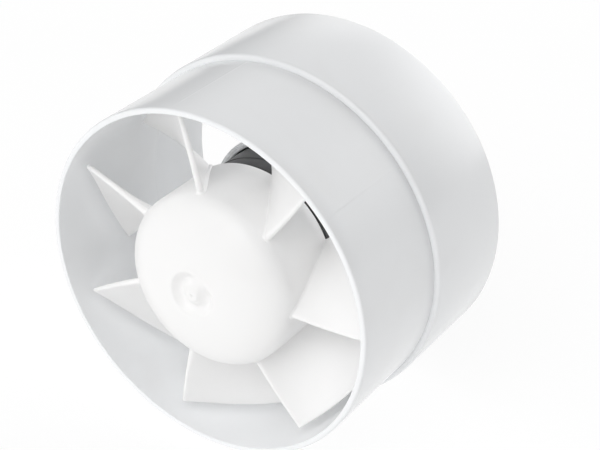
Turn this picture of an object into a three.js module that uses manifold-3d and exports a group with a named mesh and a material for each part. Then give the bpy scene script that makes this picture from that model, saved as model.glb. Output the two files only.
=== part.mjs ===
// Inline bathroom extractor fan: a two-piece tube casing with an axial impeller driven by a small round motor.
// Millimetres. The air path runs along Y: the intake is at -Y, the outlet at +Y, and +Z is up.
// The origin is on the fan's axis, in the plane of the shoulder that a duct pushed over the intake end butts against.
import * as THREE from 'three';
import { mergeVertices } from 'three/addons/utils/BufferGeometryUtils.js';
import Module from 'manifold-3d';

const wasm = await Module();
wasm.setup();

// ---------- driving dimensions ----------
const FIT_GAP = 0.3; // between neighbours that touch
const EMBED = 0.6; // how far a joined feature runs into its parent

// intake tube
const INTAKE_LENGTH = 42;
const INTAKE_RADIUS = 62;
const INTAKE_WALL = 2;
const INTAKE_DRAFT = 0.2;
const RIM_ROUND = 0.8;

// outlet tube
const OUTLET_LENGTH = 41;
const OUTLET_WALL = 2.7;
const OUTLET_DRAFT = 0.5;
const SHOULDER_HEIGHT = 2;
const SPIGOT_LENGTH = 10.5;
const SHOULDER_CLEARANCE = 0.1; // from the intake tube to the flat of the shoulder

// impeller
const BLADE_COUNT = 7;
const FIRST_BLADE_ANGLE = 43.5;
const TIP_CLEARANCE = 2.8;
const HUB_RADIUS = 31;
const HUB_WALL = 2.2;
const HUB_LENGTH = 22.8; // from the start of the dome to the rear edge
const DOME_HEIGHT = 12.6;
const DOME_POWER = 2.2;
const HUB_SETBACK = 7.4; // from the intake rim to the start of the dome
const BLADE_SETBACK = 6.4; // from the intake rim to the leading edges
const ROOT_WRAP = 28.5;
const TIP_WRAP = 42;
const TIP_SWEEP = 4;
const TIP_LAG = 0.35;
const ROOT_THICKNESS = 2.4;
const TIP_THICKNESS = 1.5;
const NOSE_BOSS_RADIUS = 2.9;
const NOSE_GROOVE_WIDTH = 4.4;
const NOSE_GROOVE_DEPTH = 1.5;
const NOSE_PIP_RADIUS = 0.5;
const NOSE_PIP_HEIGHT = 0.3;
const HUB_BOSS_RADIUS = 6.5;
const HUB_BOSS_SETBACK = 6.2; // from the hub's rear edge
const SHAFT_SOCKET_DEPTH = 22;

// motor
const MOTOR_WALL = 1.6;
const MOTOR_SETBACK = 2.5; // from the hub's rear edge to the motor's front face
const SHIELD_THICKNESS = 2.5;
const END_WALL = 2;
const SHAFT_RADIUS = 2.5;
const BUSH_RADIUS = 5;
const BUSH_LENGTH = 5;
const RUNNING_CLEARANCE = 0.08; // between the shaft and its bushes
const BUSH_INSET = 0.9; // of the rear bush, from the motor's rear face
const STACK_LENGTH = 16;
const STACK_YOKE = 4.8;
const POLE_COUNT = 4;
const POLE_NECK_WIDTH = 8;
const POLE_SHOE_WIDTH = 16;
const POLE_SHOE_DEPTH = 3;
const ROTOR_RADIUS = 13;
const AIR_GAP = 0.6;
const ROTOR_OVERHANG = 0.5;
const COIL_BUILD = 2.7;
const COIL_DEPTH = 4.2;
const COIL_CLEARANCE = 1.2;
const SHADE_SLOT = 1.6;
const SHADE_SLOT_PLACE = 3.2;
const SHADE_BAR = 1;
const SHADE_DEPTH = 1.2;
const SPACER_LENGTH = 1.3;
const SPACER_RADIUS = 4.6;

// motor holder
const CUP_WALL = 2.4;
const CUP_FRONT = 7.6; // behind the shoulder
const BULKHEAD = 2.5;
const TERMINAL_SPACE = 11.2;
const ARM_ANGLES = [90, 210, 330];
const ARM_THICKNESS = 3;
const ARM_FRONT = 11.5;
const ARM_LENGTH = 14.5;
const FOOT_WIDTH = 11;
const FOOT_DEPTH = 7;
const FOOT_THICKNESS = 2.7;
const BOSS_LENGTH = 11;
const SCREW_RADIUS = 1.5;
const SCREW_HEAD_RADIUS = 3;
const SCREW_HEAD_HEIGHT = 1.8;
const HOLDER_SCREW_LENGTH = 10;

// wiring
const COVER_THICKNESS = 2;
const COVER_SCREW_LENGTH = 8;
const POST_RADIUS = 3.2;
const TERMINAL_WIDTH = 22;
const TERMINAL_HEIGHT = 12;
const TERMINAL_DEPTH = 9;
const TERMINAL_TOP = -4;
const TERMINAL_WAYS = 3;
const TERMINAL_SCREW_RADIUS = 1.8;
const LEAD_RADIUS = 0.9;
const LEAD_SPACING = 8;
const LEAD_HEIGHT = 10.5;
const LEAD_HOLE_RADIUS = 1.8;
const FUSE_RADIUS = 1.6;
const FUSE_LENGTH = 10;
const CABLE_ANGLE = 270;
const CABLE_HOLE_RADIUS = 5.2;
const CABLE_PLACE = 30.5; // behind the shoulder
const GROMMET_FLANGE = 1.2;
const GROMMET_BORE = 3.4;
const GROMMET_LIP = 1.8;

// ---------- places worked out from the dimensions ----------
const INTAKE_FACE = -INTAKE_LENGTH;
const INTAKE_BORE = INTAKE_RADIUS - INTAKE_WALL;
const SHOULDER_RADIUS = INTAKE_RADIUS + INTAKE_DRAFT;
const OUTLET_RADIUS = SHOULDER_RADIUS + SHOULDER_HEIGHT;
const OUTLET_BORE = OUTLET_RADIUS - OUTLET_WALL;
const DOME_START = INTAKE_FACE + HUB_SETBACK;
const HUB_REAR = DOME_START + HUB_LENGTH;
const LEADING_EDGE = INTAKE_FACE + BLADE_SETBACK;
const TIP_RADIUS = INTAKE_BORE - TIP_CLEARANCE;
const STATOR_BORE = ROTOR_RADIUS + AIR_GAP;
const SHOE_BACK = STATOR_BORE + POLE_SHOE_DEPTH;
const COIL_INNER = SHOE_BACK + FIT_GAP;
const COIL_OUTER = COIL_INNER + COIL_DEPTH;
const COIL_HALF_WIDTH = POLE_NECK_WIDTH / 2 + FIT_GAP + COIL_BUILD;
const COIL_OVERHANG = FIT_GAP + COIL_BUILD;
const YOKE_BORE = Math.hypot(COIL_OUTER, COIL_HALF_WIDTH) + FIT_GAP;
const STACK_RADIUS = YOKE_BORE + STACK_YOKE;
const MOTOR_BORE = STACK_RADIUS + FIT_GAP;
const MOTOR_RADIUS = MOTOR_BORE + MOTOR_WALL;
const MOTOR_FRONT = HUB_REAR + MOTOR_SETBACK;
const SHIELD_REAR = MOTOR_FRONT + SHIELD_THICKNESS;
const STACK_FRONT = SHIELD_REAR + COIL_CLEARANCE + COIL_OVERHANG;
const STACK_REAR = STACK_FRONT + STACK_LENGTH;
const STACK_CENTRE = (STACK_FRONT + STACK_REAR) / 2;
const ROTOR_FRONT = STACK_FRONT - ROTOR_OVERHANG;
const ROTOR_REAR = STACK_REAR + ROTOR_OVERHANG;
const FRONT_BUSH_REAR = ROTOR_FRONT - SPACER_LENGTH - 2 * FIT_GAP;
const FRONT_BUSH_FRONT = FRONT_BUSH_REAR - BUSH_LENGTH;
const REAR_BUSH_FRONT = ROTOR_REAR + SPACER_LENGTH + 2 * FIT_GAP;
const REAR_BUSH_REAR = REAR_BUSH_FRONT + BUSH_LENGTH;
const MOTOR_REAR = REAR_BUSH_REAR + BUSH_INSET;
const END_WALL_FRONT = MOTOR_REAR - END_WALL;
const BUSH_BORE = SHAFT_RADIUS + RUNNING_CLEARANCE;
const BUSH_SEAT = BUSH_RADIUS + FIT_GAP;
const CUP_BORE = MOTOR_RADIUS + FIT_GAP + 0.1;
const CUP_RADIUS = CUP_BORE + CUP_WALL;
const BULKHEAD_FRONT = MOTOR_REAR + FIT_GAP;
const BULKHEAD_REAR = BULKHEAD_FRONT + BULKHEAD;
const CUP_REAR = BULKHEAD_REAR + TERMINAL_SPACE;
const MOTOR_SCREW_CIRCLE = STACK_RADIUS - STACK_YOKE / 2;

// ---------- finishes ----------
function finish(color, roughness, metalness = 0) {
  return new THREE.MeshStandardMaterial({ color, roughness, metalness });
}
const casingWhite = finish(0xe9ebec, 0.25);
const impellerWhite = finish(0xf4f4f2, 0.35);
const motorGrey = finish(0x3c3d40, 0.6);
const coverWhite = finish(0xe4e6e7, 0.4);
const steel = finish(0xb9bcc0, 0.3, 1);
const bronze = finish(0x9a7440, 0.45, 1);
const copper = finish(0xb8683a, 0.35, 1);
const lamination = finish(0x6c7076, 0.5, 1);
const nylon = finish(0xdcdccf, 0.5);
const rubber = finish(0x2b2b2d, 0.8);
const leadBlue = finish(0x2c5fa8, 0.5);
const leadBrown = finish(0x6b432a, 0.5);

// ---------- solids ----------
function solidOf(vertices, triangles) {
  return new wasm.Manifold(new wasm.Mesh({
    numProp: 3,
    vertProperties: new Float32Array(vertices),
    triVerts: new Uint32Array(triangles),
  }));
}

// A closed geometry as a solid with its faces pointing out.
function toSolid(geometry) {
  const bare = geometry.clone();
  bare.deleteAttribute('normal');
  bare.deleteAttribute('uv');
  const merged = mergeVertices(bare, 1e-4);
  const index = merged.index.array;
  const triangles = [];
  for (let i = 0; i < index.length; i += 3) {
    const [a, b, c] = [index[i], index[i + 1], index[i + 2]];
    if (a !== b && b !== c && c !== a) triangles.push(a, b, c);
  }
  const vertices = merged.attributes.position.array;
  const solid = solidOf(vertices, triangles);
  return solid.volume() > 0 ? solid : solidOf(vertices, triangles.reverse());
}

function toGeometry(solid) {
  const mesh = solid.getMesh();
  const geometry = new THREE.BufferGeometry();
  geometry.setAttribute('position', new THREE.BufferAttribute(mesh.vertProperties, 3));
  geometry.setIndex(new THREE.BufferAttribute(mesh.triVerts, 1));
  geometry.computeVertexNormals();
  return geometry;
}

// A profile of [radius, y] points turned about the Y axis. A ring's profile closes on itself.
function turned(profile, segments) {
  const points = profile.map(([radius, y]) => new THREE.Vector2(radius, y));
  return toSolid(new THREE.LatheGeometry(points, segments));
}

function ring(inner, outer, front, rear, segments) {
  return turned([[inner, front], [outer, front], [outer, rear], [inner, rear], [inner, front]], segments);
}

function rod(radius, front, rear, segments) {
  return turned([[0, front], [radius, front], [radius, rear], [0, rear]], segments);
}

function block(x, y, z) {
  const size = [x[1] - x[0], y[1] - y[0], z[1] - z[0]];
  const geometry = new THREE.BoxGeometry(...size);
  geometry.translate((x[0] + x[1]) / 2, (y[0] + y[1]) / 2, (z[0] + z[1]) / 2);
  return toSolid(geometry);
}

const radians = THREE.MathUtils.degToRad;

function around(angle, radius, y) {
  return [radius * Math.cos(radians(angle)), y, radius * Math.sin(radians(angle))];
}

// Turns a solid made along +X to an angle about the fan's axis, counted from +X towards +Z.
function turnTo(solid, angle) {
  return solid.rotate([0, -angle, 0]);
}

const fan = new THREE.Group();

function place(parent, name, solid, material, position = [0, 0, 0]) {
  const mesh = new THREE.Mesh(toGeometry(solid), material);
  mesh.name = name;
  mesh.position.set(...position);
  parent.add(mesh);
  return mesh;
}

// A group turned to an angle about the fan's axis, for pieces made along +X.
function groupAt(angle) {
  const group = new THREE.Group();
  group.rotation.y = -radians(angle);
  fan.add(group);
  return group;
}

// ---------- screws ----------
const SCREW_SIDES = 12;
const RECESS_WIDTH = 0.9;
const RECESS_DEPTH = 1;

// A pan-head screw with a cross recess. The head's seat is at y = 0 and the shank runs towards -Y.
function screw(length, radius = SCREW_RADIUS, headRadius = SCREW_HEAD_RADIUS) {
  const body = turned([
    [0, -length],
    [radius * 0.6, -length],
    [radius, -length + radius],
    [radius, 0],
    [headRadius, 0],
    [headRadius, SCREW_HEAD_HEIGHT * 0.6],
    [headRadius * 0.75, SCREW_HEAD_HEIGHT],
    [0, SCREW_HEAD_HEIGHT],
  ], SCREW_SIDES);
  const arm = headRadius * 0.6;
  const depth = [SCREW_HEAD_HEIGHT - RECESS_DEPTH, SCREW_HEAD_HEIGHT + 1];
  const half = RECESS_WIDTH / 2;
  const cross = block([-arm, arm], depth, [-half, half]).add(block([-half, half], depth, [-arm, arm]));
  return body.subtract(cross);
}

// ---------- casing ----------
const CASING_SIDES = 68;
const SPIGOT_RADIUS = OUTLET_BORE - FIT_GAP;

function intakeCasing() {
  return turned([
    [INTAKE_BORE, INTAKE_FACE],
    [INTAKE_RADIUS - RIM_ROUND, INTAKE_FACE],
    [INTAKE_RADIUS - RIM_ROUND * 0.3, INTAKE_FACE + RIM_ROUND * 0.3],
    [INTAKE_RADIUS, INTAKE_FACE + RIM_ROUND],
    [SHOULDER_RADIUS, -FIT_GAP],
    [SPIGOT_RADIUS, -FIT_GAP],
    [SPIGOT_RADIUS, SPIGOT_LENGTH],
    [INTAKE_BORE, SPIGOT_LENGTH],
    [INTAKE_BORE, INTAKE_FACE],
  ], CASING_SIDES);
}

const BOSS_FRONT = SPIGOT_LENGTH + 1.5;
const BOSS_REAR = BOSS_FRONT + BOSS_LENGTH;
const BOSS_INNER = OUTLET_BORE - FOOT_DEPTH;
const HOLDER_SCREW_PLACE = OUTLET_BORE - FOOT_DEPTH / 2 - FIT_GAP;
const FOOT_FRONT = BOSS_REAR + FIT_GAP;
const FOOT_REAR = FOOT_FRONT + FOOT_THICKNESS;
const HOLE_CLEARANCE = 0.3;

function cableHole(radius, inner, outer) {
  const hole = rod(radius, inner, outer, 32).rotate([0, 0, -90]);
  return turnTo(hole, CABLE_ANGLE).translate([0, CABLE_PLACE, 0]);
}

// The bore's mouth is bevelled to guide the spigot in.
function outletCasing() {
  const rear = OUTLET_LENGTH;
  const rearRadius = OUTLET_RADIUS + OUTLET_DRAFT;
  const mouthRadius = SHOULDER_RADIUS + SHOULDER_CLEARANCE;
  const mouthDepth = mouthRadius - OUTLET_BORE;
  let body = turned([
    [OUTLET_BORE, mouthDepth],
    [mouthRadius, 0],
    [OUTLET_RADIUS - RIM_ROUND, 0],
    [OUTLET_RADIUS - RIM_ROUND * 0.3, RIM_ROUND * 0.3],
    [OUTLET_RADIUS, RIM_ROUND],
    [rearRadius, rear - RIM_ROUND],
    [rearRadius - RIM_ROUND * 0.3, rear - RIM_ROUND * 0.3],
    [rearRadius - RIM_ROUND, rear],
    [OUTLET_BORE, rear],
    [OUTLET_BORE, mouthDepth],
  ], CASING_SIDES);
  for (const angle of ARM_ANGLES) {
    const half = FOOT_WIDTH / 2;
    const boss = block([BOSS_INNER, OUTLET_BORE + EMBED], [BOSS_FRONT, BOSS_REAR], [-half, half]);
    const hole = rod(SCREW_RADIUS + HOLE_CLEARANCE, FOOT_REAR - HOLDER_SCREW_LENGTH - 1, BOSS_REAR + 1, SCREW_SIDES)
      .translate([HOLDER_SCREW_PLACE, 0, 0]);
    body = body.add(turnTo(boss, angle)).subtract(turnTo(hole, angle));
  }
  return body.subtract(cableHole(CABLE_HOLE_RADIUS, OUTLET_BORE - 1, rearRadius + 1));
}

place(fan, 'intake_casing', intakeCasing(), casingWhite);
place(fan, 'outlet_casing', outletCasing(), casingWhite);

// ---------- impeller ----------
const HUB_SIDES = 56;
const HUB_RINGS = 8;
const BLADE_SPANS = 4;
const BLADE_STEPS = 7;

function domeY(radius, rim, height) {
  return DOME_START - height * (1 - (radius / rim) ** DOME_POWER) ** (1 / DOME_POWER);
}

// The nose: a round dome with a low boss at its centre, and a rounded groove about that.
function noseY(radius) {
  const groove = (radius - NOSE_BOSS_RADIUS) / NOSE_GROOVE_WIDTH;
  const inGroove = groove > 0 && groove < 1;
  return domeY(radius, HUB_RADIUS, DOME_HEIGHT) + (inGroove ? NOSE_GROOVE_DEPTH * Math.sin(Math.PI * groove) ** 1.5 : 0);
}

const SOCKET_RADIUS = SHAFT_RADIUS + FIT_GAP;
const HUB_BOSS_REAR = HUB_REAR - HUB_BOSS_SETBACK;
const SOCKET_FRONT = HUB_BOSS_REAR - SHAFT_SOCKET_DEPTH;

function hub() {
  const outer = [[0, noseY(0) - NOSE_PIP_HEIGHT], [NOSE_PIP_RADIUS, noseY(0) - NOSE_PIP_HEIGHT]];
  outer.push([NOSE_PIP_RADIUS, noseY(0)], [NOSE_BOSS_RADIUS, noseY(NOSE_BOSS_RADIUS)]);
  for (let i = 1; i <= 4; i++) {
    const radius = NOSE_BOSS_RADIUS + NOSE_GROOVE_WIDTH * i / 4;
    outer.push([radius, noseY(radius)]);
  }
  const domeFrom = Math.asin((NOSE_BOSS_RADIUS + NOSE_GROOVE_WIDTH) / HUB_RADIUS);
  for (let i = 1; i <= HUB_RINGS; i++) {
    const radius = HUB_RADIUS * Math.sin(domeFrom + (Math.PI / 2 - domeFrom) * i / HUB_RINGS);
    outer.push([radius, noseY(radius)]);
  }
  outer.push([HUB_RADIUS, HUB_REAR]);
  const innerRadius = HUB_RADIUS - HUB_WALL;
  const innerHeight = DOME_HEIGHT - HUB_WALL;
  const inner = [[innerRadius, HUB_REAR]];
  const domeTo = Math.asin(HUB_BOSS_RADIUS / innerRadius);
  for (let i = 0; i <= HUB_RINGS / 2; i++) {
    const radius = innerRadius * Math.sin(Math.PI / 2 + (domeTo - Math.PI / 2) * i / (HUB_RINGS / 2));
    inner.push([radius, domeY(Math.min(radius, innerRadius), innerRadius, innerHeight)]);
  }
  inner.push([HUB_BOSS_RADIUS, HUB_BOSS_REAR], [SOCKET_RADIUS, HUB_BOSS_REAR]);
  inner.push([SOCKET_RADIUS, SOCKET_FRONT], [0, SOCKET_FRONT]);
  return turned([...outer, ...inner], HUB_SIDES);
}

// A point on a blade's middle surface: across runs from root to tip, along from leading to trailing edge.
function bladePoint(across, along) {
  const root = HUB_RADIUS - HUB_WALL / 2;
  const radius = root + (TIP_RADIUS - root) * across;
  const lag = along - TIP_LAG * across * along * (1 - along);
  const wrap = ROOT_WRAP + (TIP_WRAP - ROOT_WRAP) * across;
  const y = LEADING_EDGE + (HUB_REAR - LEADING_EDGE) * along;
  return new THREE.Vector3(...around(TIP_SWEEP * across + wrap * lag, radius, y));
}

function bladeNormal(across, along) {
  const step = 0.01;
  const outwards = bladePoint(across + step, along).sub(bladePoint(across - step, along));
  const backwards = bladePoint(across, along + step).sub(bladePoint(across, along - step));
  return outwards.cross(backwards).normalize();
}

// One blade at angle 0, as a closed skin of two faces and their edges.
function blade() {
  const vertices = [];
  const triangles = [];
  const row = BLADE_STEPS + 1;
  const sheet = row * (BLADE_SPANS + 1);
  for (const side of [-1, 1]) {
    for (let i = 0; i <= BLADE_SPANS; i++) {
      for (let j = 0; j <= BLADE_STEPS; j++) {
        const across = i / BLADE_SPANS;
        const along = j / BLADE_STEPS;
        const thickness = ROOT_THICKNESS + (TIP_THICKNESS - ROOT_THICKNESS) * across;
        const normal = bladeNormal(across, along);
        vertices.push(...bladePoint(across, along).addScaledVector(normal, side * thickness / 2).toArray());
      }
    }
  }
  const quad = (a, b, c, d) => triangles.push(a, b, c, a, c, d);
  for (let i = 0; i < BLADE_SPANS; i++) {
    for (let j = 0; j < BLADE_STEPS; j++) {
      const a = i * row + j;
      quad(a, a + 1, a + row + 1, a + row);
      quad(sheet + a, sheet + a + row, sheet + a + row + 1, sheet + a + 1);
    }
    const front = i * row;
    const rear = front + BLADE_STEPS;
    quad(front, front + row, sheet + front + row, sheet + front);
    quad(rear, sheet + rear, sheet + rear + row, rear + row);
  }
  for (let j = 0; j < BLADE_STEPS; j++) {
    const tip = BLADE_SPANS * row + j;
    quad(j, sheet + j, sheet + j + 1, j + 1);
    quad(tip, tip + 1, sheet + tip + 1, sheet + tip);
  }
  const solid = solidOf(vertices, triangles);
  return solid.volume() > 0 ? solid : solidOf(vertices, triangles.reverse());
}

function impeller() {
  const bladeSolid = blade();
  let body = hub();
  for (let i = 0; i < BLADE_COUNT; i++) {
    body = body.add(turnTo(bladeSolid, FIRST_BLADE_ANGLE + i * 360 / BLADE_COUNT));
  }
  return body;
}

const CLIP_THICKNESS = 0.8;
const CLIP_RADIUS = 5.5;
const clipFront = HUB_BOSS_REAR + FIT_GAP;

place(fan, 'impeller', impeller(), impellerWhite);
place(fan, 'impeller_clip', ring(SOCKET_RADIUS, CLIP_RADIUS, clipFront, clipFront + CLIP_THICKNESS, 24), steel);

// ---------- motor shell, bushes and shaft ----------
const MOTOR_SIDES = 44;
const SHAFT_SIDES = 20;
const BUSH_BOSS_RADIUS = 8;
const SHIELD_BOSS_FRONT = FRONT_BUSH_FRONT - 2.5;
const SHAFT_REAR = REAR_BUSH_REAR - 0.5;
const SCREW_HOLE = SCREW_RADIUS + HOLE_CLEARANCE;
const SCREW_ANGLES = [45, 135, 225, 315];
const PAD_RADIUS = 3.3;

function forEachMotorScrew(solid, tool, combine) {
  return SCREW_ANGLES.reduce((body, angle) => {
    const [x, , z] = around(angle, MOTOR_SCREW_CIRCLE, 0);
    return combine(body, tool.translate([x, 0, z]));
  }, solid);
}

function drilledForMotorScrews(solid, front, rear) {
  return forEachMotorScrew(solid, rod(SCREW_HOLE, front, rear, SCREW_SIDES), (body, tool) => body.subtract(tool));
}

function leadHoles(front, rear) {
  const hole = rod(LEAD_HOLE_RADIUS, front, rear, SCREW_SIDES);
  const half = LEAD_SPACING / 2;
  return hole.translate([-half, 0, LEAD_HEIGHT]).add(hole.translate([half, 0, LEAD_HEIGHT]));
}

function motorCan() {
  let body = turned([
    [MOTOR_BORE, MOTOR_FRONT],
    [MOTOR_RADIUS, MOTOR_FRONT],
    [MOTOR_RADIUS, MOTOR_REAR],
    [0, MOTOR_REAR],
    [0, REAR_BUSH_REAR + FIT_GAP],
    [BUSH_SEAT, REAR_BUSH_REAR + FIT_GAP],
    [BUSH_SEAT, REAR_BUSH_FRONT],
    [BUSH_BOSS_RADIUS, REAR_BUSH_FRONT],
    [BUSH_BOSS_RADIUS, END_WALL_FRONT],
    [MOTOR_BORE, END_WALL_FRONT],
    [MOTOR_BORE, MOTOR_FRONT],
  ], MOTOR_SIDES);
  const pad = rod(PAD_RADIUS, STACK_REAR + FIT_GAP, END_WALL_FRONT + EMBED, SCREW_SIDES);
  const inside = rod(MOTOR_BORE + EMBED, MOTOR_FRONT, MOTOR_REAR, MOTOR_SIDES);
  body = forEachMotorScrew(body, pad.intersect(inside), (whole, tool) => whole.add(tool.intersect(inside)));
  body = drilledForMotorScrews(body, MOTOR_FRONT, MOTOR_REAR + 1);
  return body.subtract(leadHoles(END_WALL_FRONT - 1, MOTOR_REAR + 1));
}

const SHIELD_BOSS_HOLE = SHAFT_RADIUS + 0.7;
const SHIELD_PAD_REAR = STACK_FRONT - FIT_GAP;

function motorShield() {
  const body = turned([
    [SHIELD_BOSS_HOLE, SHIELD_BOSS_FRONT],
    [BUSH_BOSS_RADIUS, SHIELD_BOSS_FRONT],
    [BUSH_BOSS_RADIUS, MOTOR_FRONT],
    [MOTOR_BORE - FIT_GAP, MOTOR_FRONT],
    [MOTOR_BORE - FIT_GAP, SHIELD_REAR],
    [BUSH_BOSS_RADIUS, SHIELD_REAR],
    [BUSH_BOSS_RADIUS, FRONT_BUSH_REAR],
    [BUSH_SEAT, FRONT_BUSH_REAR],
    [BUSH_SEAT, FRONT_BUSH_FRONT - FIT_GAP],
    [SHIELD_BOSS_HOLE, FRONT_BUSH_FRONT - FIT_GAP],
    [SHIELD_BOSS_HOLE, SHIELD_BOSS_FRONT],
  ], MOTOR_SIDES);
  const within = rod(MOTOR_BORE - FIT_GAP, MOTOR_FRONT, MOTOR_REAR, MOTOR_SIDES);
  const pad = rod(PAD_RADIUS, SHIELD_REAR - EMBED, SHIELD_PAD_REAR, SCREW_SIDES);
  const padded = forEachMotorScrew(body, pad, (whole, tool) => whole.add(tool.intersect(within)));
  return drilledForMotorScrews(padded, MOTOR_FRONT + 1, SHIELD_PAD_REAR + 1);
}

place(fan, 'motor_can', motorCan(), motorGrey);
place(fan, 'motor_shield', motorShield(), motorGrey);
place(fan, 'front_bush', ring(BUSH_BORE, BUSH_RADIUS, FRONT_BUSH_FRONT, FRONT_BUSH_REAR, SHAFT_SIDES), bronze);
place(fan, 'rear_bush', ring(BUSH_BORE, BUSH_RADIUS, REAR_BUSH_FRONT, REAR_BUSH_REAR, SHAFT_SIDES), bronze);
place(fan, 'shaft', rod(SHAFT_RADIUS, SOCKET_FRONT + FIT_GAP, SHAFT_REAR, SHAFT_SIDES), steel);

// ---------- rotor and stator ----------
place(fan, 'rotor', ring(SOCKET_RADIUS, ROTOR_RADIUS, ROTOR_FRONT, ROTOR_REAR, 48), lamination);
function spacer(front) {
  return ring(SOCKET_RADIUS, SPACER_RADIUS, front, front + SPACER_LENGTH, 24);
}
place(fan, 'front_thrust_washer', spacer(FRONT_BUSH_REAR + FIT_GAP), nylon);
place(fan, 'rear_thrust_washer', spacer(ROTOR_REAR + FIT_GAP), nylon);

function statorStack() {
  let body = ring(YOKE_BORE, STACK_RADIUS, STACK_FRONT, STACK_REAR, MOTOR_SIDES);
  const bore = rod(STATOR_BORE, STACK_FRONT - 1, STACK_REAR + 1, 48);
  for (let i = 0; i < POLE_COUNT; i++) {
    const neck = POLE_NECK_WIDTH / 2;
    const shoe = POLE_SHOE_WIDTH / 2;
    const length = [STACK_FRONT, STACK_REAR];
    const through = [STACK_FRONT - 1, STACK_REAR + 1];
    const slot = block([0, SHOE_BACK - 0.6], through, [SHADE_SLOT_PLACE, SHADE_SLOT_PLACE + SHADE_SLOT]);
    const pole = block([SHOE_BACK - EMBED, YOKE_BORE + EMBED], length, [-neck, neck])
      .add(block([STATOR_BORE - 3, SHOE_BACK], length, [-shoe, shoe]))
      .subtract(bore)
      .subtract(slot);
    body = body.add(turnTo(pole, i * 360 / POLE_COUNT));
  }
  return drilledForMotorScrews(body, STACK_FRONT - 1, STACK_REAR + 1);
}

// A coil about a pole's neck, made along +X.
function coil() {
  const half = POLE_NECK_WIDTH / 2 + FIT_GAP;
  const reach = STACK_LENGTH / 2 + FIT_GAP;
  const inside = block([COIL_INNER - 1, COIL_OUTER + 1], [-reach, reach], [-half, half]);
  const [wide, long] = [COIL_HALF_WIDTH, STACK_LENGTH / 2 + COIL_OVERHANG];
  const corner = COIL_BUILD / 2;
  const outline = new THREE.Shape();
  outline.moveTo(-wide + corner, -long);
  outline.lineTo(wide - corner, -long);
  outline.absarc(wide - corner, -long + corner, corner, -Math.PI / 2, 0);
  outline.lineTo(wide, long - corner);
  outline.absarc(wide - corner, long - corner, corner, 0, Math.PI / 2);
  outline.lineTo(-wide + corner, long);
  outline.absarc(-wide + corner, long - corner, corner, Math.PI / 2, Math.PI);
  outline.lineTo(-wide, -long + corner);
  outline.absarc(-wide + corner, -long + corner, corner, Math.PI, Math.PI * 1.5);
  const extruded = new THREE.ExtrudeGeometry(outline, { depth: COIL_DEPTH, bevelEnabled: false, curveSegments: 4 });
  extruded.rotateY(Math.PI / 2);
  extruded.translate(COIL_INNER, 0, 0);
  return toSolid(extruded).subtract(inside);
}

// A copper loop about one side of a pole's shoe, made along +X.
function shadingRing() {
  const slotGap = (SHADE_SLOT - SHADE_BAR) / 2;
  const from = SHADE_SLOT_PLACE + slotGap;
  const to = POLE_SHOE_WIDTH / 2 + FIT_GAP + SHADE_BAR;
  const reach = STACK_LENGTH / 2 + FIT_GAP;
  const back = SHOE_BACK - 0.6 - FIT_GAP;
  const outer = block([back - SHADE_DEPTH, back], [-reach - SHADE_BAR, reach + SHADE_BAR], [from, to]);
  return outer.subtract(block([0, back + 1], [-reach, reach], [from + SHADE_BAR, to - SHADE_BAR]));
}

place(fan, 'stator_stack', statorStack(), lamination);
const coilSolid = coil();
const shadingSolid = shadingRing();
for (let i = 0; i < POLE_COUNT; i++) {
  const pole = groupAt(i * 360 / POLE_COUNT);
  place(pole, `stator_coil_${i + 1}`, coilSolid, copper, [0, STACK_CENTRE, 0]);
  place(pole, `shading_ring_${i + 1}`, shadingSolid, copper, [0, STACK_CENTRE, 0]);
}

// ---------- motor holder ----------
const COVER_SCREW_CIRCLE = CUP_BORE - POST_RADIUS + EMBED;
const COVER_SCREW_ANGLES = [0, 180];
const ARM_END = BOSS_INNER - FIT_GAP;
const FOOT_INNER = ARM_END - EMBED;
const FOOT_OUTER = OUTLET_BORE - 2.5 * FIT_GAP;
const MOTOR_HEAD_SPACE = SCREW_HEAD_RADIUS + FIT_GAP;

function motorHolder() {
  let body = turned([
    [CUP_BORE, CUP_FRONT],
    [CUP_RADIUS, CUP_FRONT],
    [CUP_RADIUS, CUP_REAR],
    [CUP_BORE, CUP_REAR],
    [CUP_BORE, BULKHEAD_REAR],
    [0, BULKHEAD_REAR],
    [0, BULKHEAD_FRONT],
    [CUP_BORE, BULKHEAD_FRONT],
    [CUP_BORE, CUP_FRONT],
  ], MOTOR_SIDES);
  const holderScrewHole = rod(SCREW_HOLE, FOOT_FRONT - 1, FOOT_REAR + 1, SCREW_SIDES)
    .translate([HOLDER_SCREW_PLACE, 0, 0]);
  for (const angle of ARM_ANGLES) {
    const [thick, wide] = [ARM_THICKNESS / 2, FOOT_WIDTH / 2];
    const arm = block([CUP_RADIUS - EMBED, ARM_END], [ARM_FRONT, ARM_FRONT + ARM_LENGTH], [-thick, thick]);
    const foot = block([FOOT_INNER, FOOT_OUTER], [FOOT_FRONT, FOOT_REAR], [-wide, wide]);
    body = body.add(turnTo(arm.add(foot).subtract(holderScrewHole), angle));
  }
  const post = rod(POST_RADIUS, BULKHEAD_REAR - EMBED, CUP_REAR, SCREW_SIDES);
  const postHole = rod(SCREW_HOLE, CUP_REAR - COVER_SCREW_LENGTH, CUP_REAR + 1, SCREW_SIDES);
  for (const angle of COVER_SCREW_ANGLES) {
    const [x, , z] = around(angle, COVER_SCREW_CIRCLE, 0);
    body = body.add(post.translate([x, 0, z])).subtract(postHole.translate([x, 0, z]));
  }
  body = drilledForMotorScrews(body, BULKHEAD_FRONT - 1, BULKHEAD_REAR + 1);
  return body
    .subtract(leadHoles(BULKHEAD_FRONT - 1, BULKHEAD_REAR + 1))
    .subtract(cableHole(CABLE_HOLE_RADIUS - 1, CUP_BORE - 2, CUP_RADIUS + 1));
}

place(fan, 'motor_holder', motorHolder(), casingWhite);

const holderScrew = screw(HOLDER_SCREW_LENGTH);
ARM_ANGLES.forEach((angle, i) => {
  const seat = [HOLDER_SCREW_PLACE, FOOT_REAR + FIT_GAP, 0];
  place(groupAt(angle), `holder_screw_${i + 1}`, holderScrew, steel, seat);
});

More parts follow.
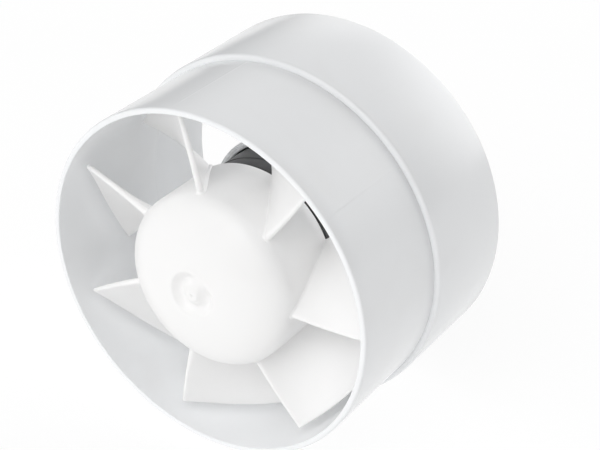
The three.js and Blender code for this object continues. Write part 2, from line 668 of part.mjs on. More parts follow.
const motorScrewSeat = BULKHEAD_REAR + FIT_GAP;
const motorScrew = screw(motorScrewSeat - MOTOR_FRONT - 1.8);
SCREW_ANGLES.forEach((angle, i) => {
  place(fan, `motor_screw_${i + 1}`, motorScrew, steel, around(angle, MOTOR_SCREW_CIRCLE, motorScrewSeat));
});

// ---------- terminal compartment ----------
const TERMINAL_FRONT = BULKHEAD_REAR + FIT_GAP;
const TERMINAL_REAR = TERMINAL_FRONT + TERMINAL_DEPTH;
const TERMINAL_PITCH = TERMINAL_WIDTH / TERMINAL_WAYS;
const TERMINAL_SCREW_MIDDLE = TERMINAL_TOP - TERMINAL_HEIGHT / 2;
const TERMINAL_WELL_DEPTH = 3.5;
const terminalPlaces = Array.from({ length: TERMINAL_WAYS }, (_, i) => (i - (TERMINAL_WAYS - 1) / 2) * TERMINAL_PITCH);

function terminalBlock() {
  const half = TERMINAL_WIDTH / 2;
  let body = block([-half, half], [TERMINAL_FRONT, TERMINAL_REAR], [TERMINAL_TOP - TERMINAL_HEIGHT, TERMINAL_TOP]);
  const well = rod(TERMINAL_SCREW_RADIUS + FIT_GAP, TERMINAL_REAR - TERMINAL_WELL_DEPTH, TERMINAL_REAR + 1, 20);
  const groove = block([-0.8, 0.8], [TERMINAL_REAR - 1.6, TERMINAL_REAR + 1], [-TERMINAL_HEIGHT, TERMINAL_HEIGHT]);
  for (const x of terminalPlaces) {
    body = body.subtract(well.translate([x, 0, TERMINAL_SCREW_MIDDLE]));
  }
  for (const x of terminalPlaces.slice(1)) {
    body = body.subtract(groove.translate([x - TERMINAL_PITCH / 2, 0, TERMINAL_SCREW_MIDDLE]));
  }
  return body;
}

function terminalScrew() {
  const height = TERMINAL_WELL_DEPTH - 2 * FIT_GAP;
  const slot = block([-TERMINAL_SCREW_RADIUS, TERMINAL_SCREW_RADIUS], [height - 0.8, height + 1], [-0.3, 0.3]);
  return rod(TERMINAL_SCREW_RADIUS, 0, height, 20).subtract(slot);
}

place(fan, 'terminal_block', terminalBlock(), nylon);
const terminalScrewSolid = terminalScrew();
const terminalScrewFront = TERMINAL_REAR - TERMINAL_WELL_DEPTH + FIT_GAP;
terminalPlaces.forEach((x, i) => {
  const place3 = [x, terminalScrewFront, TERMINAL_SCREW_MIDDLE];
  place(fan, `terminal_screw_${i + 1}`, terminalScrewSolid, steel, place3);
});

const COVER_FRONT = CUP_REAR + FIT_GAP;
const COVER_REAR = COVER_FRONT + COVER_THICKNESS;
const COVER_DISH = 1;

function terminalCover() {
  let body = turned([
    [0, COVER_FRONT],
    [CUP_RADIUS, COVER_FRONT],
    [CUP_RADIUS, COVER_REAR - RIM_ROUND],
    [CUP_RADIUS - RIM_ROUND, COVER_REAR],
    [0, COVER_REAR],
  ], MOTOR_SIDES);
  const hole = rod(SCREW_HOLE, COVER_FRONT - 1, COVER_REAR + 1, SCREW_SIDES);
  for (const angle of COVER_SCREW_ANGLES) {
    const [x, , z] = around(angle, COVER_SCREW_CIRCLE, 0);
    body = body.subtract(hole.translate([x, 0, z]));
  }
  const dishRadius = COVER_SCREW_CIRCLE - SCREW_HEAD_RADIUS - 1;
  return body.subtract(rod(dishRadius, COVER_REAR - COVER_DISH, COVER_REAR + 1, MOTOR_SIDES));
}

place(fan, 'terminal_cover', terminalCover(), coverWhite);
const coverScrew = screw(COVER_SCREW_LENGTH);
COVER_SCREW_ANGLES.forEach((angle, i) => {
  const seat = around(angle, COVER_SCREW_CIRCLE, COVER_REAR + FIT_GAP);
  place(fan, `cover_screw_${i + 1}`, coverScrew, steel, seat);
});

// ---------- cable grommet, leads and fuse ----------
function cableGrommet() {
  const neck = CABLE_HOLE_RADIUS - FIT_GAP;
  const flange = CABLE_HOLE_RADIUS + GROMMET_LIP;
  const sag = OUTLET_RADIUS - Math.sqrt(OUTLET_RADIUS ** 2 - flange ** 2);
  const wallInner = Math.sqrt(OUTLET_BORE ** 2 - flange ** 2) - FIT_GAP;
  const wallOuter = OUTLET_RADIUS + OUTLET_DRAFT + FIT_GAP;
  const body = turned([
    [GROMMET_BORE, wallInner - GROMMET_FLANGE],
    [flange, wallInner - GROMMET_FLANGE],
    [flange, wallInner],
    [neck, wallInner],
    [neck, wallOuter],
    [flange, wallOuter],
    [flange - sag, wallOuter + GROMMET_FLANGE],
    [GROMMET_BORE, wallOuter + GROMMET_FLANGE],
    [GROMMET_BORE, wallInner - GROMMET_FLANGE],
  ], SHAFT_SIDES);
  return body.rotate([0, 0, -90]);
}
place(groupAt(CABLE_ANGLE), 'cable_grommet', cableGrommet(), rubber, [0, CABLE_PLACE, 0]);

function motorLead() {
  const route = new THREE.CatmullRomCurve3([
    new THREE.Vector3(0, END_WALL_FRONT - 2, LEAD_HEIGHT),
    new THREE.Vector3(0, MOTOR_REAR, LEAD_HEIGHT),
    new THREE.Vector3(0, TERMINAL_FRONT + 1.5, LEAD_HEIGHT),
    new THREE.Vector3(0, TERMINAL_FRONT + 4.5, LEAD_HEIGHT - 3.5),
    new THREE.Vector3(0, TERMINAL_FRONT + TERMINAL_DEPTH / 2, TERMINAL_TOP + 6),
    new THREE.Vector3(0, TERMINAL_FRONT + TERMINAL_DEPTH / 2, TERMINAL_TOP + FIT_GAP),
  ]);
  const section = new THREE.Shape().absarc(0, 0, LEAD_RADIUS, 0, 2 * Math.PI);
  return toSolid(new THREE.ExtrudeGeometry(section, { steps: 12, curveSegments: 4, extrudePath: route }));
}
const leadSolid = motorLead();
place(fan, 'motor_lead_live', leadSolid, leadBrown, [-LEAD_SPACING / 2, 0, 0]);
place(fan, 'motor_lead_neutral', leadSolid, leadBlue, [LEAD_SPACING / 2, 0, 0]);

const FUSE_CIRCLE = 18.5;
const FUSE_ANGLE = 135;
const fuse = rod(FUSE_RADIUS, -FUSE_LENGTH / 2, FUSE_LENGTH / 2, SCREW_SIDES);
place(fan, 'thermal_fuse', fuse, coverWhite, around(FUSE_ANGLE, FUSE_CIRCLE, STACK_CENTRE));

export default fan;
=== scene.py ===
# Inline bathroom extractor fan: a two-part white tube with a seven-bladed wheel on a domed hub, driven by
# a small round motor that three arms hold in the outlet end. Air runs along Y, in at -Y and out at +Y, and
# +Z is up. Sizes are in millimetres until a mesh is made. The sections follow the order of assembly.
import math

import bmesh
import bpy
from mathutils import Matrix, Vector


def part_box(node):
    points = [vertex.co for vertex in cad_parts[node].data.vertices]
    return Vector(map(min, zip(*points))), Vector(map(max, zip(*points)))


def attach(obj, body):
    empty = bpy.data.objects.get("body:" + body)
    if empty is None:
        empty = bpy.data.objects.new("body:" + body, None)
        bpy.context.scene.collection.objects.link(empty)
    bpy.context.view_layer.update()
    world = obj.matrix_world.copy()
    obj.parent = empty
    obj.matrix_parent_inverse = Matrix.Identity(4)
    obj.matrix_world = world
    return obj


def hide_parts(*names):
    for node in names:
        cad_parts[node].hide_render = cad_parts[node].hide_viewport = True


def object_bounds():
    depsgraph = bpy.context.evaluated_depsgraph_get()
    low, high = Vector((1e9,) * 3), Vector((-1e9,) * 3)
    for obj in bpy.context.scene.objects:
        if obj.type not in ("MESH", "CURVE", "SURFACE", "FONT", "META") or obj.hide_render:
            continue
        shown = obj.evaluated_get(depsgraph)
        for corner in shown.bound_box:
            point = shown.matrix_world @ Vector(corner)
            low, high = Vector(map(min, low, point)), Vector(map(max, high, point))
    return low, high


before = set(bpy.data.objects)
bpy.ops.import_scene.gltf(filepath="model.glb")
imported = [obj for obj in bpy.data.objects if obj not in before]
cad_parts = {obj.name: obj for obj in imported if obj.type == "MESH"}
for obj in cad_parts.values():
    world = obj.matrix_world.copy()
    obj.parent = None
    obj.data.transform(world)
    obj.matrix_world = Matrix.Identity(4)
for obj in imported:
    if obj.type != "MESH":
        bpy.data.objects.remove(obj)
cad_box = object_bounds()

# ---- Camera ----------------------------------------------------------------------------------------------
# It stands in front of the intake, to the right and above, far enough back for a long lens.
# It rolls a little about its line of sight.
CAMERA_AZIMUTH = math.radians(34.4)
CAMERA_ELEVATION = math.radians(29.5)
CAMERA_ROLL = math.radians(1.66)
CAMERA_DISTANCE = 0.4701
CAMERA_LENS = 87.8
CAMERA_ASIDE = Vector((0.0319, 0.0203))

scene = bpy.context.scene
intake_centre = Vector((0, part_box("intake_casing")[0].y, 0))
away = Vector((
    math.sin(CAMERA_AZIMUTH) * math.cos(CAMERA_ELEVATION),
    -math.cos(CAMERA_AZIMUTH) * math.cos(CAMERA_ELEVATION),
    math.sin(CAMERA_ELEVATION),
))
level = Vector((math.cos(CAMERA_AZIMUTH), math.sin(CAMERA_AZIMUTH), 0))
upright = away.cross(level)
right = level * math.cos(CAMERA_ROLL) - upright * math.sin(CAMERA_ROLL)
upwards = level * math.sin(CAMERA_ROLL) + upright * math.cos(CAMERA_ROLL)
camera_data = bpy.data.cameras.new("camera")
camera_data.lens = CAMERA_LENS
camera_data.sensor_width = 36
camera_data.dof.use_dof = False
camera = bpy.data.objects.new("camera", camera_data)
camera.matrix_world = Matrix((right, upwards, away)).transposed().to_4x4()
camera.location = intake_centre + away * CAMERA_DISTANCE + right * CAMERA_ASIDE.x + upwards * CAMERA_ASIDE.y
scene.collection.objects.link(camera)
scene.camera = camera
scene.view_settings.view_transform = "Standard"


# ---- Floor and studio light ------------------------------------------------------------------------------
# A wide sheet of white paper, lit from large soft panels: two ahead of the intake and above it, one beside
# the lens, a wide dim one at the left, and three behind the fan that shine through it and onto its rear
# half.
class Shade:
    """A shader socket that sums can be written with: each operator adds a Math node, and node() any other."""

    def __init__(self, tree, socket=None):
        self.tree = tree
        self.socket = socket

    def node(self, kind, settings=None, values=None, out=0):
        made = self.tree.nodes.new("ShaderNode" + kind)
        for name, setting in (settings or {}).items():
            if name == "stops":
                ramp = made.color_ramp.elements
                while len(ramp) < len(setting):
                    ramp.new(1)
                for element, (place, colour) in zip(ramp, setting):
                    element.position = place
                    element.color = colour
            else:
                setattr(made, name, setting)
        usable = [socket for socket in made.inputs if socket.enabled]
        for key, value in (values or {}).items():
            socket = usable[key] if isinstance(key, int) else next(s for s in usable if s.name == key)
            if isinstance(value, Shade):
                self.tree.links.new(value.socket, socket)
            else:
                socket.default_value = value
        usable = [socket for socket in made.outputs if socket.enabled]
        named = [socket for socket in usable if socket.name == out]
        return Shade(self.tree, named[0] if named else usable[0] if usable else None)

    def math(self, operation, first, second=None):
        values = {0: first} if second is None else {0: first, 1: second}
        return self.node("Math", {"operation": operation}, values)

    def __add__(self, other):
        return self.math("ADD", self, other)

    __radd__ = __add__

    def __mul__(self, other):
        return self.math("MULTIPLY", self, other)

    __rmul__ = __mul__

    def __sub__(self, other):
        return self.math("SUBTRACT", self, other)

    def __rsub__(self, other):
        return self.math("SUBTRACT", other, self)

    def between(self, low, high, to_low=0.0, to_high=1.0):
        """to_low below low, to_high above high, and a smooth step from one to the other."""
        values = {"Value": self, "From Min": low, "From Max": high, "To Min": to_low, "To Max": to_high}
        return self.node("MapRange", {"interpolation_type": "SMOOTHSTEP"}, values)

    def mixed(self, first, second):
        """The colour first where this value is 0, and second where it is 1."""
        return self.node("Mix", {"data_type": "RGBA"}, {"Factor": self, "A": first, "B": second})


def grey(level, warmth=0.0):
    """A neutral colour, redder for a warmth above 0 and bluer for one below it."""
    return (level * (1 + warmth), level, level * (1 - warmth), 1.0)


def empty_material(name):
    material = bpy.data.materials.new(name)
    material.use_nodes = True
    material.node_tree.nodes.clear()
    return material, Shade(material.node_tree)


FLOOR_HALF_WIDTH = 6.0
FLOOR_DROP = 0.0003
FLOOR_GLOW = 0.85
GLOW_STRENGTH = 1.04
PAPER_DARK = 0.86
PAPER_LIGHT = 0.90
floor_level = cad_box[0].z - FLOOR_DROP
corner_signs = ((-1, -1), (1, -1), (1, 1), (-1, 1))
floor_mesh = bpy.data.meshes.new("paper_floor")
floor_corners = [(x * FLOOR_HALF_WIDTH, y * FLOOR_HALF_WIDTH, floor_level) for x, y in corner_signs]
floor_mesh.from_pydata(floor_corners, [], [(0, 1, 2, 3)])
paper_floor = bpy.data.objects.new("paper_floor", floor_mesh)
scene.collection.objects.link(paper_floor)

paper, nodes = empty_material("white_paper")
fibres = nodes.node("TexNoise", {}, {"Scale": 90.0, "Detail": 3.0}, "Fac")
sheet = nodes.node("BsdfDiffuse", {}, {"Color": fibres.mixed(grey(PAPER_DARK), grey(PAPER_LIGHT))})
glow = nodes.node("Emission", {}, {"Color": grey(1.0), "Strength": GLOW_STRENGTH})
lit_sheet = nodes.node("MixShader", {}, {0: FLOOR_GLOW, 1: sheet, 2: glow})
nodes.node("OutputMaterial", {}, {"Surface": lit_sheet})
paper_floor.data.materials.append(paper)

# Each panel: the way towards it, the cosines at its outer edge and its full glow, and its strength.
HIGH_AHEAD = ((0.0, -0.50, 0.85), 0.88, 0.97, 1.80)
AHEAD_ABOVE = ((0.0, -0.85, 0.50), 0.88, 0.97, 0.95)
BESIDE_LENS = ((0.49, -0.72, 0.49), 0.88, 0.97, 1.20)
LOW_LEFT_FRONT = ((-0.7, -0.7, 0.1), 0.3, 1.0, 0.95)
BEHIND_FAN = ((0.2, 1.0, 0.1), 0.80, 1.0, 3.30)
BEHIND_LEFT = ((-0.3, 1.0, 0.15), 0.90, 0.98, 1.13)
BEHIND_ABOVE = ((0.0, 0.8, 0.6), 0.60, 1.0, 0.90)
world = bpy.data.worlds.new("pale_room")
world.use_nodes = True
world.node_tree.nodes.clear()
scene.world = world
nodes = Shade(world.node_tree)
direction = nodes.node("TexCoord", {}, {}, "Generated")
brightness = 0.0
front_panels = (HIGH_AHEAD, AHEAD_ABOVE, BESIDE_LENS, LOW_LEFT_FRONT)
rear_panels = (BEHIND_FAN, BEHIND_LEFT, BEHIND_ABOVE)
for towards, outer, inner, strength in front_panels + rear_panels:
    middle = Vector(towards).normalized()
    nearness = nodes.node("VectorMath", {"operation": "DOT_PRODUCT"}, {0: direction, 1: middle}, "Value")
    brightness = brightness + strength * nearness.between(outer, inner)
air = nodes.node("Background", {}, {"Color": grey(1.0), "Strength": brightness})
nodes.node("OutputWorld", {}, {"Surface": air})


# ---- Intake tube -----------------------------------------------------------------------------------------
# The front half of the casing, injection moulded in glossy white ABS. Its rear end is a thinner spigot that
# pushes into the outlet tube. Two hair-fine parting lines of the mould run along the outside from the rim to
# the shoulder.
MM = 0.001
CREASE = math.radians(32)


def corners_of(node):
    """A CAD node's lowest and highest corners, in millimetres."""
    low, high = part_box(node)
    return low / MM, high / MM


def smoothed(piece):
    """Shades the piece as one smooth skin that is broken only at edges sharper than CREASE."""
    piece.data.shade_smooth()
    piece.data.set_sharp_from_angle(angle=CREASE)
    return piece


def skin(name, points, faces):
    """A closed skin from points in millimetres, with its faces pointing out."""
    mesh = bpy.data.meshes.new(name)
    mesh.from_pydata([Vector(point) * MM for point in points], [], faces)
    shell = bmesh.new()
    shell.from_mesh(mesh)
    bmesh.ops.recalc_face_normals(shell, faces=shell.faces)
    shell.to_mesh(mesh)
    shell.free()
    piece = bpy.data.objects.new(name, mesh)
    scene.collection.objects.link(piece)
    return smoothed(piece)


def rounded(corners, steps=5):
    """An outline from corners (radius, y, rounding), each turned into an arc of that rounding."""
    outline = []
    for i, (x, y, rounding) in enumerate(corners):
        here = Vector((x, y))
        if not rounding:
            outline.append(here)
            continue
        back = (Vector(corners[i - 1][:2]) - here).normalized()
        on = (Vector(corners[(i + 1) % len(corners)][:2]) - here).normalized()
        half = back.angle(on) / 2
        centre = here + (back + on).normalized() * (rounding / math.sin(half))
        start = here + back * (rounding / math.tan(half)) - centre
        end = here + on * (rounding / math.tan(half)) - centre
        outline += [centre + rounding * start.slerp(end, step / steps) for step in range(steps + 1)]
    return outline


def even_angles(sides):
    return [2 * math.pi * i / sides for i in range(sides)]


def turned(name, outline, angles, lift=None):
    """A closed outline of (radius, y) points turned about Y. lift(angle, radius, y) adds to a radius."""
    points = []
    rings = []
    for radius, y in outline:
        if radius < 1e-6:
            rings.append([len(points)] * len(angles))
            points.append((0, y, 0))
            continue
        rings.append(range(len(points), len(points) + len(angles)))
        for angle in angles:
            reach = radius + (lift(angle, radius, y) if lift else 0)
            points.append((reach * math.cos(angle), y, reach * math.sin(angle)))
    if outline[0][0] > 1e-6:
        rings.append(rings[0])
    faces = []
    for front, rear in zip(rings, rings[1:]):
        for i in range(len(angles)):
            j = (i + 1) % len(angles)
            face = list(dict.fromkeys((front[i], front[j], rear[j], rear[i])))
            if len(face) > 2:
                faces.append(face)
    return skin(name, points, faces)


def white_moulding(name, colour, gloss, grain_size, grain_depth, warmth=-0.012):
    """Moulded plastic with slow flow marks, a fine grain, and faint smudges from handling."""
    material, nodes = empty_material(name)
    place = nodes.node("TexCoord", {}, {}, "Object")
    flow = nodes.node("TexNoise", {}, {"Vector": place, "Scale": 22.0, "Detail": 2.0}, "Fac")
    values = {"Vector": place, "Scale": 45.0, "Detail": 1.0, "Distortion": 0.6}
    handling = nodes.node("TexNoise", {}, values, "Fac")
    grain = nodes.node("TexNoise", {}, {"Vector": place, "Scale": 1 / grain_size, "Detail": 2.0}, "Fac")
    smudge = handling.between(0.45, 0.80)
    tone = flow.between(0.3, 0.7)
    clean = tone.mixed(grey(colour * 0.985, warmth), grey(colour, warmth))
    soiled = (smudge * 0.10).mixed(clean, grey(colour * 0.80, 0.02))
    rough = gloss + 0.01 * tone + 0.02 * smudge
    height = grain * grain_depth + 0.006 * flow
    bump = nodes.node("Bump", {}, {"Strength": 1.0, "Distance": 0.001, "Height": height})
    values = {"Base Color": soiled, "Roughness": rough, "Normal": bump, "IOR": 1.5}
    nodes.node("OutputMaterial", {}, {"Surface": nodes.node("BsdfPrincipled", {}, values)})
    return material


TUBE_WALL = 2.0
TUBE_DRAFT = 0.2
RIM_ROUNDING = 0.85
SPIGOT_STEP = 1.0
JOINT_SETBACK = 0.12
LINE_ANGLES = (math.radians(97.4), math.radians(38.8))
LINE_WIDTH = 0.36
LINE_HEIGHT = 0.09
LINE_START = 5.8
LINE_RUN_IN = 0.8
TUBE_SIDES = 256

casing_white = white_moulding("casing_white_abs", 0.90, 0.22, 0.0009, 0.0008)
tube_low, tube_high = corners_of("intake_casing")
rim_y = tube_low.y
shoulder_radius = tube_high.x
rim_radius = shoulder_radius - TUBE_DRAFT
bore_radius = rim_radius - TUBE_WALL
spigot_radius = shoulder_radius - SPIGOT_STEP
joint_y = -JOINT_SETBACK


def parting_line(angle, radius, y):
    """The low ridge that a mould's parting line leaves on the outside of the tube."""
    outside = radius > rim_radius - 0.05 and rim_y + LINE_START < y < joint_y - 0.3
    near = min(abs(angle - line) for line in LINE_ANGLES) * radius
    return LINE_HEIGHT if outside and near < 0.5 * LINE_WIDTH else 0.0


line_shares = (-1.4, -1.1, -0.4, 0.4, 1.1, 1.4)
line_offsets = [share * LINE_WIDTH / shoulder_radius for share in line_shares]
line_columns = [line + offset for line in LINE_ANGLES for offset in line_offsets]
clear_of_lines = [a for a in even_angles(TUBE_SIDES) if min(abs(a - line) for line in line_columns) > 0.004]
tube_angles = sorted(clear_of_lines + line_columns)

tube_outline = rounded([
    (bore_radius, rim_y, 0.3),
    (rim_radius, rim_y, RIM_ROUNDING),
    (rim_radius + 0.02, rim_y + LINE_START, 0),
    (rim_radius + 0.025, rim_y + LINE_START + LINE_RUN_IN, 0),
    (shoulder_radius - 0.01, joint_y - 1.1, 0),
    (shoulder_radius, joint_y - 0.3, 0),
    (shoulder_radius, joint_y, 0.12),
    (spigot_radius, joint_y, 0),
    (spigot_radius, tube_high.y, 0.3),
    (bore_radius, tube_high.y, 0.3),
    (bore_radius, 0, 0),
    (bore_radius, rim_y / 2, 0),
])
intake_tube = turned("intake_tube", tube_outline, tube_angles, parting_line)
intake_tube.data.materials.append(casing_white)
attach(intake_tube, "housing")
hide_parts("intake_casing")


# ---- Outlet tube -----------------------------------------------------------------------------------------
# The rear half of the casing, in the same ABS and a little wider, so that its front end is the shoulder a
# duct stops against. Inside are three bosses that the motor holder is screwed to, and low in its wall is the
# cable's hole.
def combined(piece, tool, how="UNION"):
    """Joins tool to piece, or cuts it out of it for how="DIFFERENCE". tool is used up."""
    modifier = piece.modifiers.new("combined", "BOOLEAN")
    modifier.operation = how
    modifier.solver = "MANIFOLD"
    modifier.object = tool
    depsgraph = bpy.context.evaluated_depsgraph_get()
    mesh = bpy.data.meshes.new_from_object(piece.evaluated_get(depsgraph))
    mesh.materials.clear()
    piece.modifiers.clear()
    piece.data = mesh
    bpy.data.objects.remove(tool)
    return smoothed(piece)


def block(name, x, y, z, edge):
    """A block between two values of each of x, y and z, with rounded edges."""
    shell = bmesh.new()
    bmesh.ops.create_cube(shell, size=1)
    for vertex in shell.verts:
        vertex.co = [low + (high - low) * (c + 0.5) for c, (low, high) in zip(vertex.co, (x, y, z))]
    bmesh.ops.bevel(shell, geom=shell.edges[:], offset=edge, segments=3, profile=0.5, affect="EDGES")
    points = [vertex.co.copy() for vertex in shell.verts]
    faces = [[vertex.index for vertex in face.verts] for face in shell.faces]
    shell.free()
    return skin(name, points, faces)


def rod(name, radius, front, rear, sides=48, edge=0.0):
    corners = [(0, front, 0), (radius, front, edge), (radius, rear, edge), (0, rear, 0)]
    return turned(name, rounded(corners, 3), even_angles(sides))


def turned_to(piece, angle):
    """Turns a piece made along +X to an angle in degrees about the fan's axis, from +X towards +Z."""
    piece.data.transform(Matrix.Rotation(-math.radians(angle), 4, "Y"))
    return piece


def moved(piece, x=0.0, y=0.0, z=0.0):
    piece.data.transform(Matrix.Translation(Vector((x, y, z)) * MM))
    return piece


def radial_rod(name, radius, inner, outer, angle, y):
    """A rod that points away from the fan's axis, at an angle and a place along it."""
    piece = rod(name, radius, inner, outer)
    piece.data.transform(Matrix.Rotation(-math.pi / 2, 4, "Z"))
    return turned_to(moved(piece, y=y), angle)


ARM_ANGLES = (90, 210, 330)
WIDE_WALL = 2.7
WIDE_DRAFT = 0.5
SHOULDER_ROUNDING = 1.4
MOUTH_BEVEL = 0.58
BOSS_DEPTH = 7.0
BOSS_WIDTH = 11.0
BOSS_FRONT = 12.0
BOSS_REAR = 23.0
SCREW_HOLE = 1.8
HOLDER_SCREW_CIRCLE = 57.7
CABLE_ANGLE = 270
CABLE_Y = 30.5
CABLE_HOLE = 5.2

wide_low, wide_high = corners_of("outlet_casing")
wide_rear_radius = wide_high.x
wide_radius = wide_rear_radius - WIDE_DRAFT
wide_bore = wide_radius - WIDE_WALL
rear_y = wide_high.y
wide_outline = rounded([
    (wide_bore + MOUTH_BEVEL, wide_low.y, 0),
    (wide_radius, wide_low.y, SHOULDER_ROUNDING),
    (wide_radius + WIDE_DRAFT / 2, rear_y / 2, 0),
    (wide_rear_radius, rear_y, RIM_ROUNDING),
    (wide_bore, rear_y, 0.4),
    (wide_bore, 1.5 * BOSS_REAR, 0),
    (wide_bore, BOSS_FRONT, 0),
    (wide_bore, wide_low.y + MOUTH_BEVEL, 0),
])
outlet_tube = turned("outlet_tube", wide_outline, even_angles(TUBE_SIDES))
for angle in ARM_ANGLES:
    half_width = BOSS_WIDTH / 2
    reach = (wide_bore - BOSS_DEPTH, wide_bore + 1)
    boss = block("boss", reach, (BOSS_FRONT, BOSS_REAR), (-half_width, half_width), 0.5)
    hole = moved(rod("hole", SCREW_HOLE, BOSS_FRONT + 2, BOSS_REAR + 1, 32), x=HOLDER_SCREW_CIRCLE)
    boss = combined(boss, hole, "DIFFERENCE")
    combined(outlet_tube, turned_to(boss, angle))
cable_hole = radial_rod("hole", CABLE_HOLE, wide_bore - 2, wide_rear_radius + 2, CABLE_ANGLE, CABLE_Y)
combined(outlet_tube, cable_hole, "DIFFERENCE")
outlet_tube.data.materials.append(casing_white)
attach(outlet_tube, "housing")
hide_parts("outlet_casing")


# ---- Blade wheel -----------------------------------------------------------------------------------------
# One moulding in satin white plastic: a domed hub, hollow behind, with seven twisted blades that swell into
# it at their roots. In the middle of the nose is a low boss with the pip of the mould's gate, and a soft
# groove curls round it.
BLADE_COUNT = 7
FIRST_BLADE_ANGLE = 43.5
HUB_RADIUS = 31.0
HUB_WALL = 2.2
HUB_LENGTH = 22.8
DOME_HEIGHT = 12.6
DOME_POWER = 2.2
NOSE_BOSS = 2.0
NOSE_GROOVE = 6.4
NOSE_GROOVE_DEPTH = 2.5
BRIDGE_ANGLE = math.radians(58)
BRIDGE_SPREAD = math.radians(62)
BRIDGE_FILL = 0.85
PIP_RADIUS = 0.55
PIP_HEIGHT = 0.3
HUB_BOSS = 6.5
HUB_BOSS_SETBACK = 6.2
SOCKET = 2.8
SOCKET_DEPTH = 22.0
HUB_RINGS = 44
NOSE_RINGS = 24
HUB_SIDES = 224

wheel_low, wheel_high = corners_of("impeller")
dome_start = wheel_low.y + DOME_HEIGHT + PIP_HEIGHT
hub_rear = dome_start + HUB_LENGTH


def dome_y(radius, rim, height):
    return dome_start - height * (1 - (radius / rim) ** DOME_POWER) ** (1 / DOME_POWER)


def groove_depth(radius):
    """How deep the round groove about the middle boss is sunk into the dome."""
    across = (radius - NOSE_BOSS) / NOSE_GROOVE
    return NOSE_GROOVE_DEPTH * math.sin(math.pi * across) ** 1.5 if 0 < across < 1 else 0


def nose_y(radius):
    return dome_y(radius, HUB_RADIUS, DOME_HEIGHT) + groove_depth(radius)


pip_y = nose_y(0) - PIP_HEIGHT
hub_outline = [(0, pip_y), (0.6 * PIP_RADIUS, pip_y)]
hub_outline += [(PIP_RADIUS, pip_y + 0.2), (PIP_RADIUS + 0.1, nose_y(0))]
for i in range(1, NOSE_RINGS + 1):
    radius = PIP_RADIUS + 0.1 + (NOSE_BOSS + NOSE_GROOVE - PIP_RADIUS) * i / NOSE_RINGS
    hub_outline.append((radius, nose_y(radius)))
dome_from = math.asin((NOSE_BOSS + NOSE_GROOVE + 0.1) / HUB_RADIUS)
for i in range(1, HUB_RINGS + 1):
    radius = HUB_RADIUS * math.sin(dome_from + (math.pi / 2 - dome_from) * i / HUB_RINGS)
    hub_outline.append((radius, nose_y(radius)))
hub_outline += [(HUB_RADIUS, dome_start + HUB_LENGTH * share) for share in (0.2, 0.4, 0.6, 0.8)]
hub_outline += [(HUB_RADIUS, hub_rear - 0.4), (HUB_RADIUS - 0.12, hub_rear - 0.12)]
hub_outline.append((HUB_RADIUS - 0.4, hub_rear))
inner_radius = HUB_RADIUS - HUB_WALL
inner_height = DOME_HEIGHT - HUB_WALL
boss_rear = hub_rear - HUB_BOSS_SETBACK
dome_to = math.asin(HUB_BOSS / inner_radius)
hub_outline.append((inner_radius, hub_rear))
for i in range(HUB_RINGS // 2 + 1):
    radius = inner_radius * math.sin(math.pi / 2 + (dome_to - math.pi / 2) * i / (HUB_RINGS // 2))
    hub_outline.append((radius, dome_y(radius, inner_radius, inner_height)))
hub_outline += [(HUB_BOSS, boss_rear - 0.3), (HUB_BOSS - 0.3, boss_rear), (SOCKET, boss_rear)]
hub_outline += [(SOCKET, boss_rear - SOCKET_DEPTH), (0, boss_rear - SOCKET_DEPTH)]
blade_wheel = turned("blade_wheel", hub_outline, even_angles(HUB_SIDES))
for vertex in blade_wheel.data.vertices:
    radius = math.hypot(vertex.co.x, vertex.co.z) / MM
    if groove_depth(radius) and vertex.co.y / MM < nose_y(radius) + 0.01:
        around = math.atan2(vertex.co.z, vertex.co.x)
        away_from_bridge = abs(math.remainder(around - BRIDGE_ANGLE, 2 * math.pi))
        share = 0.5 + 0.5 * math.cos(math.pi * min(away_from_bridge / BRIDGE_SPREAD, 1))
        vertex.co.y -= BRIDGE_FILL * share * groove_depth(radius) * MM

BLADE_LEAD = 1.0
TIP_RADIUS = 57.2
ROOT_WRAP = 28.5
TIP_WRAP = 42.0
TIP_SWEEP = 4.0
TIP_LAG = 0.35
ROOT_THICKNESS = 2.4
TIP_THICKNESS = 1.5
TAIL_THINNING = 0.45
ROOT_SWELL = 0.8
TIP_ROUNDING = 0.6
BLADE_SPANS = 26
SPAN_CROWDING = 1.7
BLADE_STEPS = 30
NOSE_STEPS = 6

leading_edge = dome_start - BLADE_LEAD
blade_root = HUB_RADIUS - HUB_WALL / 2


def blade_middle(across, along):
    """A point on the blade's middle surface: across runs from root to tip, along from front to rear edge."""
    radius = blade_root + (TIP_RADIUS - blade_root) * across
    lag = along - TIP_LAG * across * along * (1 - along)
    angle = math.radians(TIP_SWEEP * across + (ROOT_WRAP + (TIP_WRAP - ROOT_WRAP) * across) * lag)
    y = leading_edge + (hub_rear - leading_edge) * along
    return Vector((radius * math.cos(angle), y, radius * math.sin(angle)))


def swell(from_hub):
    """How far the blade's root spreads on each side, at a distance from the hub's surface."""
    gap = min(max(ROOT_SWELL - from_hub, 0), ROOT_SWELL)
    return ROOT_SWELL - math.sqrt(ROOT_SWELL ** 2 - gap ** 2)


